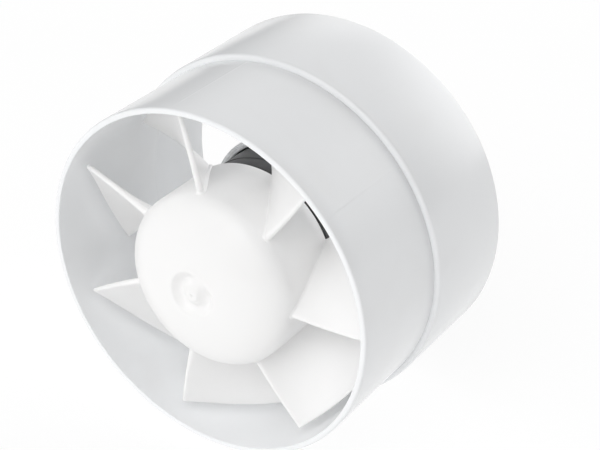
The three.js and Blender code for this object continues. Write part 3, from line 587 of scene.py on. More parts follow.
def blade_section(across, half, spread):
    """The points about one section of the blade, from its leading edge down one side and up the other."""
    step = 0.002
    chord = (blade_middle(across, 1) - blade_middle(across, 0)).length
    start = half / chord
    sides = ([], [])
    for k in range(NOSE_STEPS + BLADE_STEPS + 1):
        turn = math.pi / 2 * min(k / NOSE_STEPS, 1)
        share = max(k - NOSE_STEPS, 0) / BLADE_STEPS
        along = start + (1 - start) * share
        middle = blade_middle(across, along)
        backwards = (blade_middle(across, along + step) - blade_middle(across, along - step)).normalized()
        outwards = blade_middle(across + step, along) - blade_middle(across - step, along)
        normal = outwards.cross(backwards).normalized()
        thin = half * (1 - TAIL_THINNING * share ** 2)
        ahead = (half + spread) * math.cos(turn) if share == 0 else 0
        for side, points in zip((1, -1), sides):
            point = middle + side * normal * (thin + spread) * math.sin(turn) - backwards * ahead
            point.y = min(point.y, wheel_high.y)
            points.append(point)
    return sides[0] + sides[1][:0:-1]


points = []
section_size = 2 * (NOSE_STEPS + BLADE_STEPS) + 1
section_shares = [(i / BLADE_SPANS) ** SPAN_CROWDING for i in range(BLADE_SPANS + 1)]
section_shares = [share * (1 - TIP_ROUNDING / (TIP_RADIUS - blade_root)) for share in section_shares]
tip_turns = [math.pi / 2 * k / 4 for k in (1, 2, 3)]
for share in section_shares:
    thickness = ROOT_THICKNESS + (TIP_THICKNESS - ROOT_THICKNESS) * share
    from_hub = blade_root + (TIP_RADIUS - blade_root) * share - HUB_RADIUS
    points += blade_section(share, thickness / 2, swell(from_hub))
for turn in tip_turns:
    share = 1 - TIP_ROUNDING * (1 - math.sin(turn)) / (TIP_RADIUS - blade_root)
    points += blade_section(share, TIP_THICKNESS / 2 * (0.35 + 0.65 * math.cos(turn)), 0)
section_count = len(section_shares) + len(tip_turns)
faces = []
for i in range(section_count - 1):
    for k in range(section_size):
        a = i * section_size + k
        b = i * section_size + (k + 1) % section_size
        faces.append((a, b, b + section_size, a + section_size))
for base in (0, (section_count - 1) * section_size):
    faces.append((base, base + 1, base + section_size - 1))
    for k in range(1, section_size // 2):
        faces.append((base + k, base + k + 1, base + section_size - k - 1, base + section_size - k))
for i in range(BLADE_COUNT):
    blade = turned_to(skin("blade", points, faces), FIRST_BLADE_ANGLE + i * 360 / BLADE_COUNT)
    combined(blade_wheel, blade)

wheel_white = white_moulding("wheel_satin_white", 0.90, 0.34, 0.0006, 0.0022, 0.004)
blade_wheel.data.materials.append(wheel_white)
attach(blade_wheel, "spinner")
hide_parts("impeller")


# ---- Shaft and push-on clip ------------------------------------------------------------------------------
# A ground steel shaft, pressed into the rotor, with the wheel pushed onto its front end. A thin spring-steel
# clip with teeth bites on the shaft behind the hub's inner boss and stops the wheel from creeping off.
def mottled(name, dark, light, patch, rough, rough_spread, metallic, depth, fleck):
    """A finish that wanders between two colours in patches of a size in metres, with a fine grain whose
    depth is in millimetres. fleck is a third colour, for sparse spots of wear, dust or pores."""
    material, nodes = empty_material(name)
    place = nodes.node("TexCoord", {}, {}, "Object")
    values = {"Vector": place, "Scale": 1 / patch, "Detail": 5.0, "Roughness": 0.6}
    cloud = nodes.node("TexNoise", {}, values, "Fac")
    grain = nodes.node("TexNoise", {}, {"Vector": place, "Scale": 9 / patch, "Detail": 2.0}, "Fac")
    cells = nodes.node("TexVoronoi", {}, {"Vector": place, "Scale": 5 / patch}, "Distance")
    spots = cells.between(0.1, 0.2, 1.0, 0.0) * cloud.between(0.45, 0.6)
    clean = cloud.between(0.3, 0.7).mixed(dark, light)
    colour = (0.6 * spots).mixed(clean, fleck)
    uneven = rough + rough_spread * (cloud + 0.5 * grain - 0.75) + 0.1 * spots
    height = grain * depth + cloud * (2 * depth)
    bump = nodes.node("Bump", {}, {"Strength": 1.0, "Distance": 0.001, "Height": height})
    values = {"Base Color": colour, "Roughness": uneven, "Metallic": metallic, "Normal": bump}
    nodes.node("OutputMaterial", {}, {"Surface": nodes.node("BsdfPrincipled", {}, values)})
    return material


def ring(name, bore, radius, front, rear, edge):
    corners = [(bore, front, edge), (radius, front, edge), (radius, rear, edge), (bore, rear, edge)]
    return turned(name, rounded(corners, 3), even_angles(96))


CLIP_TEETH = 6
CLIP_SLIT = 0.9
zinc_dark = grey(0.50, -0.02)
zinc_light = grey(0.66, -0.03)
zinc_worn = grey(0.35, 0.05)
steel = mottled("zinc_plated_steel", zinc_dark, zinc_light, 0.0016, 0.30, 0.14, 1.0, 0.0008, zinc_worn)

shaft_low, shaft_high = corners_of("shaft")
shaft = rod("motor_shaft", shaft_high.x, shaft_low.y, shaft_high.y, 64, 0.35)
shaft.data.materials.append(steel)
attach(shaft, "spinner")
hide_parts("shaft")

clip_low, clip_high = corners_of("impeller_clip")
clip = ring("hub_clip", SOCKET, clip_high.x, clip_low.y, clip_high.y, 0.12)
for i in range(CLIP_TEETH):
    reach = (SOCKET - 0.5, 0.75 * clip_high.x)
    slit = block("slit", reach, (clip_low.y - 1, clip_high.y + 1), (-CLIP_SLIT / 2, CLIP_SLIT / 2), 0.1)
    combined(clip, turned_to(slit, (i + 0.5) * 360 / CLIP_TEETH), "DIFFERENCE")
clip.data.materials.append(steel)
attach(clip, "spinner")
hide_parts("impeller_clip")


# ---- Rotor and thrust washers ----------------------------------------------------------------------------
# A squirrel-cage rotor: thin steel sheets on the shaft, with skewed aluminium bars whose ends meet in a cast
# ring at each face. A nylon washer on each side takes the end thrust against the bushes.
def laminated(name, sheet_thickness):
    """Stacked sheets, each a little lighter or darker, with a dark groove where two of them meet."""
    material, nodes = empty_material(name)
    place = nodes.node("TexCoord", {}, {}, "Object")
    along = nodes.node("SeparateXYZ", {}, {"Vector": place}, "Y") * (1 / sheet_thickness)
    within = nodes.math("FRACT", along)
    seam = within.between(0.0, 0.16, 1.0, 0.0) + within.between(0.84, 1.0)
    sheet_number = nodes.math("FLOOR", along)
    sheet_tone = nodes.node("TexWhiteNoise", {"noise_dimensions": "1D"}, {"W": sheet_number}, "Value")
    oil = nodes.node("TexNoise", {}, {"Vector": place, "Scale": 300.0, "Detail": 4.0}, "Fac")
    tone = 0.5 * sheet_tone + 0.5 * oil.between(0.3, 0.7)
    colour = (0.7 * seam).mixed(tone.mixed(grey(0.20, -0.02), grey(0.36, -0.04)), grey(0.05, 0.1))
    rough = 0.38 + 0.15 * tone + 0.25 * seam
    height = oil * 0.002 - 0.06 * seam
    bump = nodes.node("Bump", {}, {"Strength": 1.0, "Distance": 0.001, "Height": height})
    values = {"Base Color": colour, "Roughness": rough, "Metallic": 0.9, "Normal": bump}
    nodes.node("OutputMaterial", {}, {"Surface": nodes.node("BsdfPrincipled", {}, values)})
    return material


ROTOR_BARS = 18
ROTOR_SKEW = math.radians(20)
BAR_GROOVE = 0.22
BAR_STEPS = 24
END_RING = 1.4
END_RING_INSET = 0.15

electrical_steel = laminated("electrical_steel_sheets", 0.0005)
nylon_dark = (0.74, 0.73, 0.64, 1)
nylon_light = (0.82, 0.81, 0.74, 1)
nylon_dust = grey(0.56, 0.06)
nylon = mottled("natural_nylon", nylon_dark, nylon_light, 0.004, 0.42, 0.1, 0.0, 0.0006, nylon_dust)
rotor_low, rotor_high = corners_of("rotor")


def bar_groove(angle, radius, y):
    """The shallow skewed groove over each bar of the cage."""
    if radius < rotor_high.x - 0.05 or not rotor_low.y + END_RING < y < rotor_high.y - END_RING:
        return 0.0
    along = (y - rotor_low.y) / (rotor_high.y - rotor_low.y)
    phase = math.cos(ROTOR_BARS * (angle - ROTOR_SKEW * along))
    return -BAR_GROOVE if phase > 0.9 else 0.0


rotor_outline = [(rotor_high.x - 0.4, rotor_low.y), (rotor_high.x - END_RING_INSET, rotor_low.y + 0.25)]
bar_length = rotor_high.y - rotor_low.y - 2 * END_RING
rotor_steps = [rotor_low.y + END_RING + bar_length * i / BAR_STEPS for i in range(BAR_STEPS)]
rotor_outline += [(rotor_high.x - END_RING_INSET, rotor_low.y + END_RING - 0.02)]
rotor_outline += [(rotor_high.x, y) for y in rotor_steps]
rotor_outline.append((rotor_high.x, rotor_high.y - END_RING))
rotor_outline.append((rotor_high.x - END_RING_INSET, rotor_high.y - END_RING + 0.02))
rotor_outline.append((rotor_high.x - END_RING_INSET, rotor_high.y - 0.25))
rotor_outline.append((rotor_high.x - 0.4, rotor_high.y))
rotor_outline += [(SOCKET, rotor_high.y), (SOCKET, rotor_low.y)]
rotor = turned("cage_rotor", rotor_outline, even_angles(ROTOR_BARS * 16), bar_groove)
rotor.data.materials.append(electrical_steel)
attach(rotor, "spinner")
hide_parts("rotor")

for side in ("front", "rear"):
    node = f"{side}_thrust_washer"
    low, high = corners_of(node)
    washer = ring(f"{side}_nylon_washer", SOCKET, high.x, low.y, high.y, 0.25)
    washer.data.materials.append(nylon)
    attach(washer, "spinner")
    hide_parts(node)


# ---- Bushes ----------------------------------------------------------------------------------------------
# Two oil-filled sintered bronze sleeves, pressed into the motor's front plate and end wall. The shaft turns
# in them. Their surface is a fine open sponge, darkened by oil.
BUSH_BORE = 2.58
bronze_dark = (0.30, 0.19, 0.09, 1)
bronze_light = (0.50, 0.34, 0.17, 1)
pore_black = (0.1, 0.06, 0.03, 1)
bronze = mottled("sintered_bronze", bronze_dark, bronze_light, 0.0009, 0.48, 0.16, 0.9, 0.003, pore_black)
for side in ("front", "rear"):
    node = f"{side}_bush"
    low, high = corners_of(node)
    bush = ring(f"{side}_bronze_bush", BUSH_BORE, high.x, low.y, high.y, 0.4)
    bush.data.materials.append(bronze)
    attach(bush, "housing")
    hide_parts(node)


# ---- Stator: stack, coils and shading rings --------------------------------------------------------------
# Punched steel sheets with four poles, a coil of enamelled copper wire about each pole's neck, and a bare
# copper loop in one side of each pole's face, which makes the motor start.
def swept(path, radius, sides, closed):
    """The points and faces of a round tube along a path. An open tube has flat ends."""
    points = []
    faces = []
    count = len(path)
    across = None
    for i, here in enumerate(path):
        before = path[i - 1] if closed or i else here
        after = path[(i + 1) % count] if closed or i < count - 1 else here
        forward = (after - before).normalized()
        if across is None:
            across = forward.orthogonal().normalized()
        across = (across - forward * across.dot(forward)).normalized()
        other = forward.cross(across)
        for k in range(sides):
            turn = 2 * math.pi * k / sides
            points.append(here + radius * (math.cos(turn) * across + math.sin(turn) * other))
    for i in range(count if closed else count - 1):
        for k in range(sides):
            a = i * sides + k
            b = i * sides + (k + 1) % sides
            on = sides if i < count - 1 else -i * sides
            faces.append((a, b, b + on, a + on))
    if not closed:
        faces.append(tuple(range(sides)))
        faces.append(tuple(range((count - 1) * sides, count * sides)))
    return points, faces


def wire_turn(x, half_length, half_width, bend):
    """A rounded oblong of wire about a pole that points along +X."""
    turn = []
    for y_side, z_side, start in ((1, 1, 0), (1, -1, 1), (-1, -1, 2), (-1, 1, 3)):
        for k in range(5):
            angle = math.pi / 2 * (start + k / 4)
            y = y_side * (half_length - bend) + bend * math.sin(angle)
            z = z_side * (half_width - bend) + bend * math.cos(angle)
            turn.append(Vector((x, y, z)))
    return turn


WIRE = 0.21
COIL_CORNER = 1.35
COIL_LAYERS = 6
POLES = 4
stack_low, stack_high = corners_of("stator_stack")
stack_centre = (stack_low.y + stack_high.y) / 2
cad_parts["stator_stack"].data.materials.clear()
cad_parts["stator_stack"].data.materials.append(electrical_steel)
wire_dark = (0.36, 0.12, 0.04, 1)
wire_light = (0.58, 0.24, 0.09, 1)
wire_spot = (0.2, 0.07, 0.03, 1)
winding = mottled("enamelled_copper_wire", wire_dark, wire_light, 0.003, 0.26, 0.12, 0.9, 0.0006, wire_spot)
bar_dark = (0.52, 0.22, 0.11, 1)
bar_light = (0.72, 0.36, 0.22, 1)
bar_tarnish = (0.25, 0.12, 0.07, 1)
bare_copper = mottled("bare_copper_bar", bar_dark, bar_light, 0.002, 0.33, 0.16, 1.0, 0.0008, bar_tarnish)
coil_low, coil_high = corners_of("stator_coil_1")
half_length = (coil_high.y - coil_low.y) / 2
half_width = coil_high.z
columns = int((coil_high.x - coil_low.x) / (2 * WIRE))
for i in range(POLES):
    points = []
    faces = []
    for column in range(columns):
        for layer in range(COIL_LAYERS):
            if 0 < column < columns - 1 and layer > 0:
                continue
            inset = WIRE * (1 + 2 * layer)
            path = wire_turn(
                coil_low.x + WIRE + column * (coil_high.x - coil_low.x - 2 * WIRE) / (columns - 1),
                half_length - inset,
                half_width - inset,
                max(COIL_CORNER - inset, 0.3),
            )
            tube_points, tube_faces = swept(path, WIRE * 0.98, 6, True)
            faces += [[index + len(points) for index in face] for face in tube_faces]
            points += tube_points
    coil = moved(skin(f"wound_coil_{i + 1}", points, faces), y=stack_centre)
    turned_to(coil, i * 360 / POLES)
    coil.data.materials.append(winding)
    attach(coil, "housing")
    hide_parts(f"stator_coil_{i + 1}")
    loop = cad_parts[f"shading_ring_{i + 1}"]
    loop.data.materials.clear()
    loop.data.materials.append(bare_copper)


# ---- Motor shell -----------------------------------------------------------------------------------------
# A dark grey moulded can with an end wall, and a front plate that closes it and carries the front bush in a
# raised boss. Four long screws pass through both and through the stator between them.
MOTOR_WALL = 1.6
END_WALL = 2.0
BOSS_RADIUS = 8.0
BUSH_SEAT = 5.3
PAD_RADIUS = 3.3
PAD_GAP = 0.3
PAD_SINK = 0.5
MOTOR_SCREW_ANGLES = (45, 135, 225, 315)
MOTOR_SCREW_CIRCLE = 24.93
LEAD_OFFSET = 4.0
LEAD_HEIGHT = 10.5
LEAD_HOLE = 1.8
BAND_START = 4.0
BAND_END = 6.2
BAND_DEPTH = 0.22
SHELL_SIDES = 160

shell_dark = grey(0.050, -0.01)
shell_light = grey(0.072, -0.01)
can_dust = grey(0.13)
shell_grey = mottled("dark_grey_moulding", shell_dark, shell_light, 0.006, 0.46, 0.12, 0.0, 0.0012, can_dust)
can_low, can_high = corners_of("motor_can")
can_radius = can_high.x
can_bore = can_radius - MOTOR_WALL
end_wall = can_high.y - END_WALL
bush_low, bush_high = corners_of("rear_bush")
motor_shell = turned("motor_shell", rounded([
    (0, bush_high.y + 0.3, 0),
    (BUSH_SEAT, bush_high.y + 0.3, 0),
    (BUSH_SEAT, bush_low.y, 0.2),
    (BOSS_RADIUS, bush_low.y, 0.4),
    (BOSS_RADIUS, end_wall, 0),
    (can_bore, end_wall, 0.6),
    (can_bore, can_low.y, 0.3),
    (can_radius, can_low.y, 0.6),
    (can_radius, can_low.y + BAND_START, 0),
    (can_radius - BAND_DEPTH, can_low.y + BAND_START + BAND_DEPTH, 0),
    (can_radius - BAND_DEPTH, can_low.y + BAND_END - BAND_DEPTH, 0),
    (can_radius, can_low.y + BAND_END, 0),
    (can_radius, can_high.y, 1.2),
    (0, can_high.y, 0),
]), even_angles(SHELL_SIDES))


def at_motor_screw(piece, angle):
    """Moves a rod made along the fan's axis to the motor screw at an angle."""
    turn = math.radians(angle)
    return moved(piece, MOTOR_SCREW_CIRCLE * math.cos(turn), 0, MOTOR_SCREW_CIRCLE * math.sin(turn))


def drill_screw_holes(piece, front, rear):
    """Cuts the four holes that the motor's screws pass through."""
    for angle in MOTOR_SCREW_ANGLES:
        hole = at_motor_screw(rod("hole", SCREW_HOLE, front, rear, 32), angle)
        combined(piece, hole, "DIFFERENCE")


def add_screw_pads(piece, front, rear, limit):
    """Joins a round pad at each of the motor's screws, cut off at a radius from the motor's axis."""
    for angle in MOTOR_SCREW_ANGLES:
        pad = at_motor_screw(rod("pad", PAD_RADIUS, front, rear, 40), angle)
        trim = rod("trim", limit, front - 1, rear + 1, SHELL_SIDES)
        combined(piece, combined(pad, trim, "INTERSECT"))


def drill_lead_holes(piece, radius, front, rear):
    """Cuts the two holes that the motor's leads pass through."""
    for x in (-LEAD_OFFSET, LEAD_OFFSET):
        combined(piece, moved(rod("hole", radius, front, rear, 32), x, 0, LEAD_HEIGHT), "DIFFERENCE")


add_screw_pads(motor_shell, stack_high.y + PAD_GAP, end_wall + PAD_SINK, can_bore + MOTOR_WALL / 2)
drill_screw_holes(motor_shell, can_low.y - 1, can_high.y + 1)
drill_lead_holes(motor_shell, LEAD_HOLE, end_wall - 1, can_high.y + 1)
motor_shell.data.materials.append(shell_grey)
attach(motor_shell, "housing")
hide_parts("motor_can")

SHIELD_THICKNESS = 2.5
SHAFT_HOLE = 3.2
plate_low, plate_high = corners_of("motor_shield")
plate_radius = plate_high.x
front_bush_low, front_bush_high = corners_of("front_bush")
plate_rear = can_low.y + SHIELD_THICKNESS
front_plate = turned("motor_front_plate", rounded([
    (SHAFT_HOLE, plate_low.y, 0.3),
    (BOSS_RADIUS, plate_low.y, 0.6),
    (BOSS_RADIUS, can_low.y, 0.5),
    (plate_radius, can_low.y, 0.3),
    (plate_radius, plate_rear, 0),
    (BOSS_RADIUS, plate_rear, 0),
    (BOSS_RADIUS, front_bush_high.y, 0.3),
    (BUSH_SEAT, front_bush_high.y, 0.2),
    (BUSH_SEAT, front_bush_low.y - 0.3, 0),
    (SHAFT_HOLE, front_bush_low.y - 0.3, 0),
]), even_angles(SHELL_SIDES))
add_screw_pads(front_plate, plate_rear - PAD_SINK, plate_high.y, plate_radius)
drill_screw_holes(front_plate, can_low.y + 1, plate_high.y + 1)
front_plate.data.materials.append(shell_grey)
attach(front_plate, "housing")
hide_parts("motor_shield")


# ---- Thermal fuse ----------------------------------------------------------------------------------------
# A small fuse in a white woven glass sleeve, tucked between two coils. It opens the circuit if the motor
# stalls and overheats. The sleeve is drawn in a little at its ends.
def woven_sleeve(name, centre, thread):
    """Crossing threads about a tube along Y: the two sets of threads run round it in opposite helices, with
    painted shade in the hollows between them.
    """
    material, nodes = empty_material(name)
    place = nodes.node("TexCoord", {}, {}, "Object")
    own = nodes.node("VectorMath", {"operation": "SUBTRACT"}, {0: place, 1: centre})
    x = nodes.node("SeparateXYZ", {}, {"Vector": own}, "X")
    y = nodes.node("SeparateXYZ", {}, {"Vector": own}, "Y")
    z = nodes.node("SeparateXYZ", {}, {"Vector": own}, "Z")
    round_it = nodes.math("ARCTAN2", z, x) * 12.0
    along = y * (2 * math.pi / thread)
    over = nodes.math("SINE", round_it + along)
    under = nodes.math("SINE", round_it - along)
    weave = nodes.math("MULTIPLY", over, under)
    fuzz = nodes.node("TexNoise", {}, {"Vector": place, "Scale": 3000.0, "Detail": 3.0}, "Fac")
    # Painted shade: the white glass is coloured darker where the weave is low, in the hollows between the
    # threads.
    tone = weave.between(-0.9, 0.6)
    colour = tone.mixed(grey(0.52, 0.04), grey(0.82, 0.02))
    bump = nodes.node("Bump", {}, {"Distance": 0.001, "Height": 0.05 * weave + 0.02 * fuzz})
    values = {"Base Color": colour, "Roughness": 0.65 + 0.2 * fuzz, "Normal": bump}
    nodes.node("OutputMaterial", {}, {"Surface": nodes.node("BsdfPrincipled", {}, values)})
    return material


fuse_low, fuse_high = corners_of("thermal_fuse")
fuse_centre = (fuse_low + fuse_high) / 2
fuse_radius = (fuse_high.z - fuse_low.z) / 2
fuse_half = (fuse_high.y - fuse_low.y) / 2
fuse_outline = [(0, -fuse_half), (0.5 * fuse_radius, -fuse_half), (0.8 * fuse_radius, 0.6 - fuse_half)]
fuse_outline.append((fuse_radius, 1.6 - fuse_half))
fuse_outline += [(radius, -y) for radius, y in reversed(fuse_outline)]
fuse = moved(turned("fuse_sleeve", fuse_outline, even_angles(48)), *fuse_centre)
fuse.data.materials.append(woven_sleeve("woven_glass_sleeve", fuse_centre * MM, 0.0009))
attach(fuse, "housing")
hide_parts("thermal_fuse")


# ---- Motor holder ----------------------------------------------------------------------------------------
# A white moulded cup that grips the rear half of the motor, on three thin radial arms with feet at their
# ends. Its rear end, behind a bulkhead, is the terminal compartment, with two posts for the cover's screws.
CUP_WALL = 2.4
CUP_LIP = 0.9
BULKHEAD = 2.5
ARM_THICKNESS = 3.0
ARM_FRONT = 11.5
ARM_LENGTH = 14.5
ARM_FOOT = 6.0
FOOT_WIDTH = 11.0
FOOT_THICKNESS = 2.7
POST_RADIUS = 3.2
COVER_SCREW_CIRCLE = 27.03
COVER_SCREW_ANGLES = (0, 180)
COVER_SCREW_LENGTH = 8.0

cover_low, cover_high = corners_of("terminal_cover")
holder_low, holder_high = corners_of("motor_holder")
cup_radius = cover_high.x
cup_bore = cup_radius - CUP_WALL
bulkhead_front = can_high.y + 0.3
bulkhead_rear = bulkhead_front + BULKHEAD
foot_outer = holder_high.z
foot_inner = wide_bore - BOSS_DEPTH - 0.9
foot_rear = BOSS_REAR + 0.3 + FOOT_THICKNESS
motor_cup = turned("motor_cup", rounded([
    (0, bulkhead_front, 0),
    (cup_bore, bulkhead_front, 0),
    (cup_bore, holder_low.y, 0.5),
    (cup_radius - CUP_LIP, holder_low.y, 0.3),
    (cup_radius - CUP_LIP, holder_low.y + CUP_LIP, 0.1),
    (cup_radius, holder_low.y + CUP_LIP, 0.3),
    (cup_radius, holder_high.y, 0.4),
    (cup_bore, holder_high.y, 0.3),
    (cup_bore, bulkhead_rear, 0.6),
    (0, bulkhead_rear, 0),
]), even_angles(SHELL_SIDES))
for angle in ARM_ANGLES:
    half_arm = ARM_THICKNESS / 2
    half_foot = FOOT_WIDTH / 2
    flare = ARM_FOOT / 2
    arm_run = (ARM_FRONT, ARM_FRONT + ARM_LENGTH)
    arm = block("arm", (cup_radius - 1, foot_inner + 0.7), arm_run, (-half_arm, half_arm), 0.6)
    flank_run = (ARM_FRONT + 1, ARM_FRONT + ARM_LENGTH - 1)
    flank = block("flank", (cup_radius - 1, cup_radius + 1.6), flank_run, (-flare, flare), 1.2)
    foot_run = (BOSS_REAR + 0.3, foot_rear)
    foot = block("foot", (foot_inner, foot_outer), foot_run, (-half_foot, half_foot), 0.6)
    foot_hole = moved(rod("hole", SCREW_HOLE, BOSS_REAR - 1, foot_rear + 1, 32), x=HOLDER_SCREW_CIRCLE)
    combined(foot, foot_hole, "DIFFERENCE")
    combined(arm, flank)
    combined(arm, foot)
    combined(motor_cup, turned_to(arm, angle))
for angle in COVER_SCREW_ANGLES:
    side = math.cos(math.radians(angle))
    post = rod("post", POST_RADIUS, bulkhead_rear - 0.6, holder_high.y - 0.02, 40, 0.2)
    combined(motor_cup, moved(post, x=COVER_SCREW_CIRCLE * side))
    hole = rod("hole", SCREW_HOLE, holder_high.y - COVER_SCREW_LENGTH, holder_high.y + 1, 32)
    combined(motor_cup, moved(hole, x=COVER_SCREW_CIRCLE * side), "DIFFERENCE")
drill_screw_holes(motor_cup, bulkhead_front - 1, bulkhead_rear + 1)
drill_lead_holes(motor_cup, LEAD_HOLE, bulkhead_front - 1, bulkhead_rear + 1)
cup_cable_hole = radial_rod("hole", CABLE_HOLE - 1, cup_bore - 2, cup_radius + 2, CABLE_ANGLE, CABLE_Y)
combined(motor_cup, cup_cable_hole, "DIFFERENCE")
motor_cup.data.materials.append(casing_white)
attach(motor_cup, "housing")
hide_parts("motor_holder")


# ---- Screws ----------------------------------------------------------------------------------------------
# Zinc-plated pan-head screws with a cross recess: three hold the holder's feet to the casing's bosses, four
# run right through the motor, and two hold the terminal cover. Their threads are cut as true helices.
HEAD_RADIUS = 3.0
HEAD_HEIGHT = 1.8
SHANK_RADIUS = 1.5
THREAD_DEPTH = 0.28
THREAD_PITCH = 0.9
RECESS_WIDTH = 0.75
RECESS_DEPTH = 1.1


def screw(name, length, threaded):
    """A screw whose head sits on y = 0 and whose shank runs towards -Y, threaded over its last part."""
    core = SHANK_RADIUS - THREAD_DEPTH
    steps = int(threaded / (THREAD_PITCH / 8))
    outline = [(0, -length), (0.35 * SHANK_RADIUS, -length), (core, SHANK_RADIUS - length)]
    for i in range(steps):
        outline.append((core, SHANK_RADIUS - length + (threaded - SHANK_RADIUS) * (i + 1) / steps))
    outline += [(core, 0.1 - length + threaded), (SHANK_RADIUS, 0.4 - length + threaded), (SHANK_RADIUS, 0)]
    outline += [(HEAD_RADIUS - 0.15, 0), (HEAD_RADIUS, 0.15), (HEAD_RADIUS, 0.35 * HEAD_HEIGHT)]
    for k in range(1, 9):
        turn = math.pi / 2 * k / 8
        radius = HEAD_RADIUS * (0.45 + 0.55 * math.cos(turn))
        outline.append((radius, HEAD_HEIGHT * (0.35 + 0.65 * math.sin(turn))))
    outline.append((0, HEAD_HEIGHT))

    def thread(angle, radius, y):
        inside = 0.9 - length < y < threaded - length and abs(radius - core) < 0.01
        crest = 0.5 + 0.5 * math.cos(angle - 2 * math.pi * y / THREAD_PITCH)
        return THREAD_DEPTH * crest ** 3 if inside else 0.0

    piece = turned(name, outline, even_angles(32), thread)
    reach = 0.58 * HEAD_RADIUS
    depth = (HEAD_HEIGHT - RECESS_DEPTH, HEAD_HEIGHT + 1)
    half = RECESS_WIDTH / 2
    cross = block("cross", (-reach, reach), depth, (-half, half), 0.08)
    combined(cross, block("cross", (-half, half), depth, (-reach, reach), 0.08))
    return combined(piece, cross, "DIFFERENCE")


# A name, the CAD node's name, the circle and angles of its places, the longest thread, and its recess's
# turns.
screw_kinds = (
    ("foot_screw", "holder_screw", HOLDER_SCREW_CIRCLE, ARM_ANGLES, 20, 0.5, 1.0),
    ("through_screw", "motor_screw", MOTOR_SCREW_CIRCLE, MOTOR_SCREW_ANGLES, 8, 0.3, 1.3),
    ("lid_screw", "cover_screw", COVER_SCREW_CIRCLE, COVER_SCREW_ANGLES, 20, 0.7, 1.9),
)
for name, node, circle, angles, longest, first_turn, next_turn in screw_kinds:
    for i, angle in enumerate(angles):
        low, high = corners_of(f"{node}_{i + 1}")
        seat = high.y - HEAD_HEIGHT
        length = seat - low.y
        piece = screw(f"{name}_{i + 1}", length, min(longest, length - 1))
        piece.data.transform(Matrix.Rotation(first_turn + next_turn * i, 4, "Y"))
        turn = math.radians(angle)
        moved(piece, circle * math.cos(turn), seat, circle * math.sin(turn))
        piece.data.materials.append(steel)
        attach(piece, "housing")
        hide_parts(f"{node}_{i + 1}")


# ---- Terminal block and leads ----------------------------------------------------------------------------
# A nylon block with three ways, each with a slotted clamp screw in a well. The motor's brown and blue leads
# come through the bulkhead and bend down into it. The supply cable would come in from below.
TERMINAL_PITCH_SHARE = 1 / 3
WELL_RADIUS = 2.1
WELL_DEPTH = 3.5
SLOT_WIDTH = 0.6
SLOT_DEPTH = 0.8
PARTING = 0.8

block_low, block_high = corners_of("terminal_block")
block_span = list(zip(block_low, block_high))
terminal_block = block("terminal_strip", *block_span, 0.4)
terminal_z = (block_low.z + block_high.z) / 2
pitch = (block_high.x - block_low.x) * TERMINAL_PITCH_SHARE
for i in (-1, 0, 1):
    well = rod("well", WELL_RADIUS, block_high.y - WELL_DEPTH, block_high.y + 1, 40)
    combined(terminal_block, moved(well, i * pitch, 0, terminal_z), "DIFFERENCE")
for i in (-0.5, 0.5):
    across = (i * pitch - PARTING, i * pitch + PARTING)
    height = (block_high.y - 2 * PARTING, block_high.y + 1)
    groove = block("groove", across, height, (block_low.z - 1, block_high.z + 1), 0.2)
    combined(terminal_block, groove, "DIFFERENCE")
terminal_block.data.materials.append(nylon)
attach(terminal_block, "housing")
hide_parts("terminal_block")

for i in range(3):
    low, high = corners_of(f"terminal_screw_{i + 1}")
    clamp = rod(f"clamp_screw_{i + 1}", high.z - terminal_z, low.y, high.y, 40, 0.25)
    slot_run = (high.y - SLOT_DEPTH, high.y + 1)
    slot = block("slot", (-3, 3), slot_run, (-SLOT_WIDTH / 2, SLOT_WIDTH / 2), 0.05)
    slot.data.transform(Matrix.Rotation(0.4 + 0.9 * i, 4, "Y"))
    moved(slot, (low.x + high.x) / 2, 0, terminal_z)
    moved(clamp, (low.x + high.x) / 2, 0, terminal_z)
    combined(clamp, slot, "DIFFERENCE")
    clamp.data.materials.append(steel)
    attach(clamp, "housing")
    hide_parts(f"terminal_screw_{i + 1}")


def curve_through(stops, steps):
    """Points on a smooth curve through the stops."""
    path = []
    for i in range(len(stops) - 1):
        a = stops[max(i - 1, 0)]
        b = stops[i]
        c = stops[i + 1]
        d = stops[min(i + 2, len(stops) - 1)]
        for k in range(steps):
            t = k / steps
            curve = (c - a) * t + (2 * a - 5 * b + 4 * c - d) * t ** 2 + (3 * b - a - 3 * c + d) * t ** 3
            path.append(b + 0.5 * curve)
    return path + [stops[-1]]


def insulation(name, dark, light):
    return mottled(name, dark, light, 0.003, 0.38, 0.12, 0.0, 0.0005, grey(0.3))


LEAD_RADIUS = 0.9
lead_start = corners_of("motor_lead_live")[0].y
terminal_middle = (block_low.y + block_high.y) / 2
lead_stops = (
    Vector((0, lead_start, LEAD_HEIGHT)),
    Vector((0, can_high.y, LEAD_HEIGHT)),
    Vector((0, block_low.y + 1.5, LEAD_HEIGHT)),
    Vector((0, block_low.y + 4.5, LEAD_HEIGHT - 3.5)),
    Vector((0, terminal_middle, block_high.z + 6)),
    Vector((0, terminal_middle, block_high.z + 0.3)),
)
lead_finishes = (
    ("live", -LEAD_OFFSET, "lead_brown", (0.13, 0.05, 0.022, 1), (0.19, 0.075, 0.035, 1)),
    ("neutral", LEAD_OFFSET, "lead_blue", (0.03, 0.11, 0.34, 1), (0.05, 0.16, 0.46, 1)),
)
for which, x, slot_name, dark, light in lead_finishes:
    points, faces = swept(curve_through(lead_stops, 8), LEAD_RADIUS, 20, False)
    lead = moved(skin(f"{which}_lead", points, faces), x=x)
    lead.data.materials.append(insulation(f"{which}_lead_pvc", dark, light))
    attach(lead, "housing")
    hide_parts(f"motor_lead_{which}")


# ---- Terminal cover --------------------------------------------------------------------------------------
# A round white lid with a finely spark-textured face, dished a little in the middle. Two screws hold it to
# the posts in the motor holder.
COVER_DISH = 1.0
COVER_EDGE = 0.8
DISH_RADIUS = 23.03

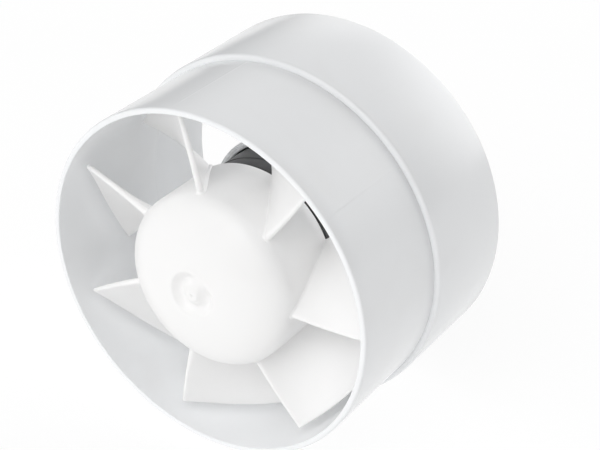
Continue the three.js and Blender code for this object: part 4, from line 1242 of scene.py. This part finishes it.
lid = turned("terminal_lid", rounded([
    (0, cover_low.y, 0),
    (cup_radius, cover_low.y, 0.2),
    (cup_radius, cover_high.y, COVER_EDGE),
    (DISH_RADIUS + 0.5, cover_high.y, 0.4),
    (DISH_RADIUS - 0.3, cover_high.y - COVER_DISH, 0.4),
    (0, cover_high.y - COVER_DISH, 0),
]), even_angles(SHELL_SIDES))
for angle in COVER_SCREW_ANGLES:
    hole = rod("hole", SCREW_HOLE, cover_low.y - 1, cover_high.y + 1, 32)
    combined(lid, moved(hole, x=COVER_SCREW_CIRCLE * math.cos(math.radians(angle))), "DIFFERENCE")
lid.data.materials.append(white_moulding("lid_spark_textured_white", 0.84, 0.42, 0.0004, 0.012))
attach(lid, "housing")
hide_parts("terminal_cover")


# ---- Cable grommet ---------------------------------------------------------------------------------------
# A soft black rubber bush, snapped into the hole low in the casing's wall. Its two flanges grip the wall,
# and its bore is open for the supply cable.
GROMMET_BORE = 3.4
GROMMET_FLANGE = 1.2
GROMMET_LIP = 1.8
GROMMET_GAP = 0.3

rubber_grey = grey(0.09, 0.03)
rubber = mottled("soft_black_rubber", grey(0.018), grey(0.030), 0.002, 0.62, 0.16, 0.0, 0.0012, rubber_grey)
neck = CABLE_HOLE - GROMMET_GAP
flange = CABLE_HOLE + GROMMET_LIP
sag = wide_radius - math.sqrt(wide_radius ** 2 - flange ** 2)
wall_inner = math.sqrt(wide_bore ** 2 - flange ** 2) - GROMMET_GAP
wall_outer = wide_rear_radius + GROMMET_GAP
grommet = turned("rubber_grommet", rounded([
    (GROMMET_BORE, wall_inner - GROMMET_FLANGE, 0.4),
    (flange, wall_inner - GROMMET_FLANGE, 0.5),
    (flange, wall_inner, 0.15),
    (neck, wall_inner, 0.1),
    (neck, wall_outer, 0.1),
    (flange, wall_outer, 0.15),
    (flange - sag, wall_outer + GROMMET_FLANGE, 0.4),
    (GROMMET_BORE, wall_outer + GROMMET_FLANGE, 0.4),
]), even_angles(72))
grommet.data.transform(Matrix.Rotation(-math.pi / 2, 4, "Z"))
turned_to(moved(grommet, y=CABLE_Y), CABLE_ANGLE)
grommet.data.materials.append(rubber)
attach(grommet, "housing")
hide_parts("cable_grommet")
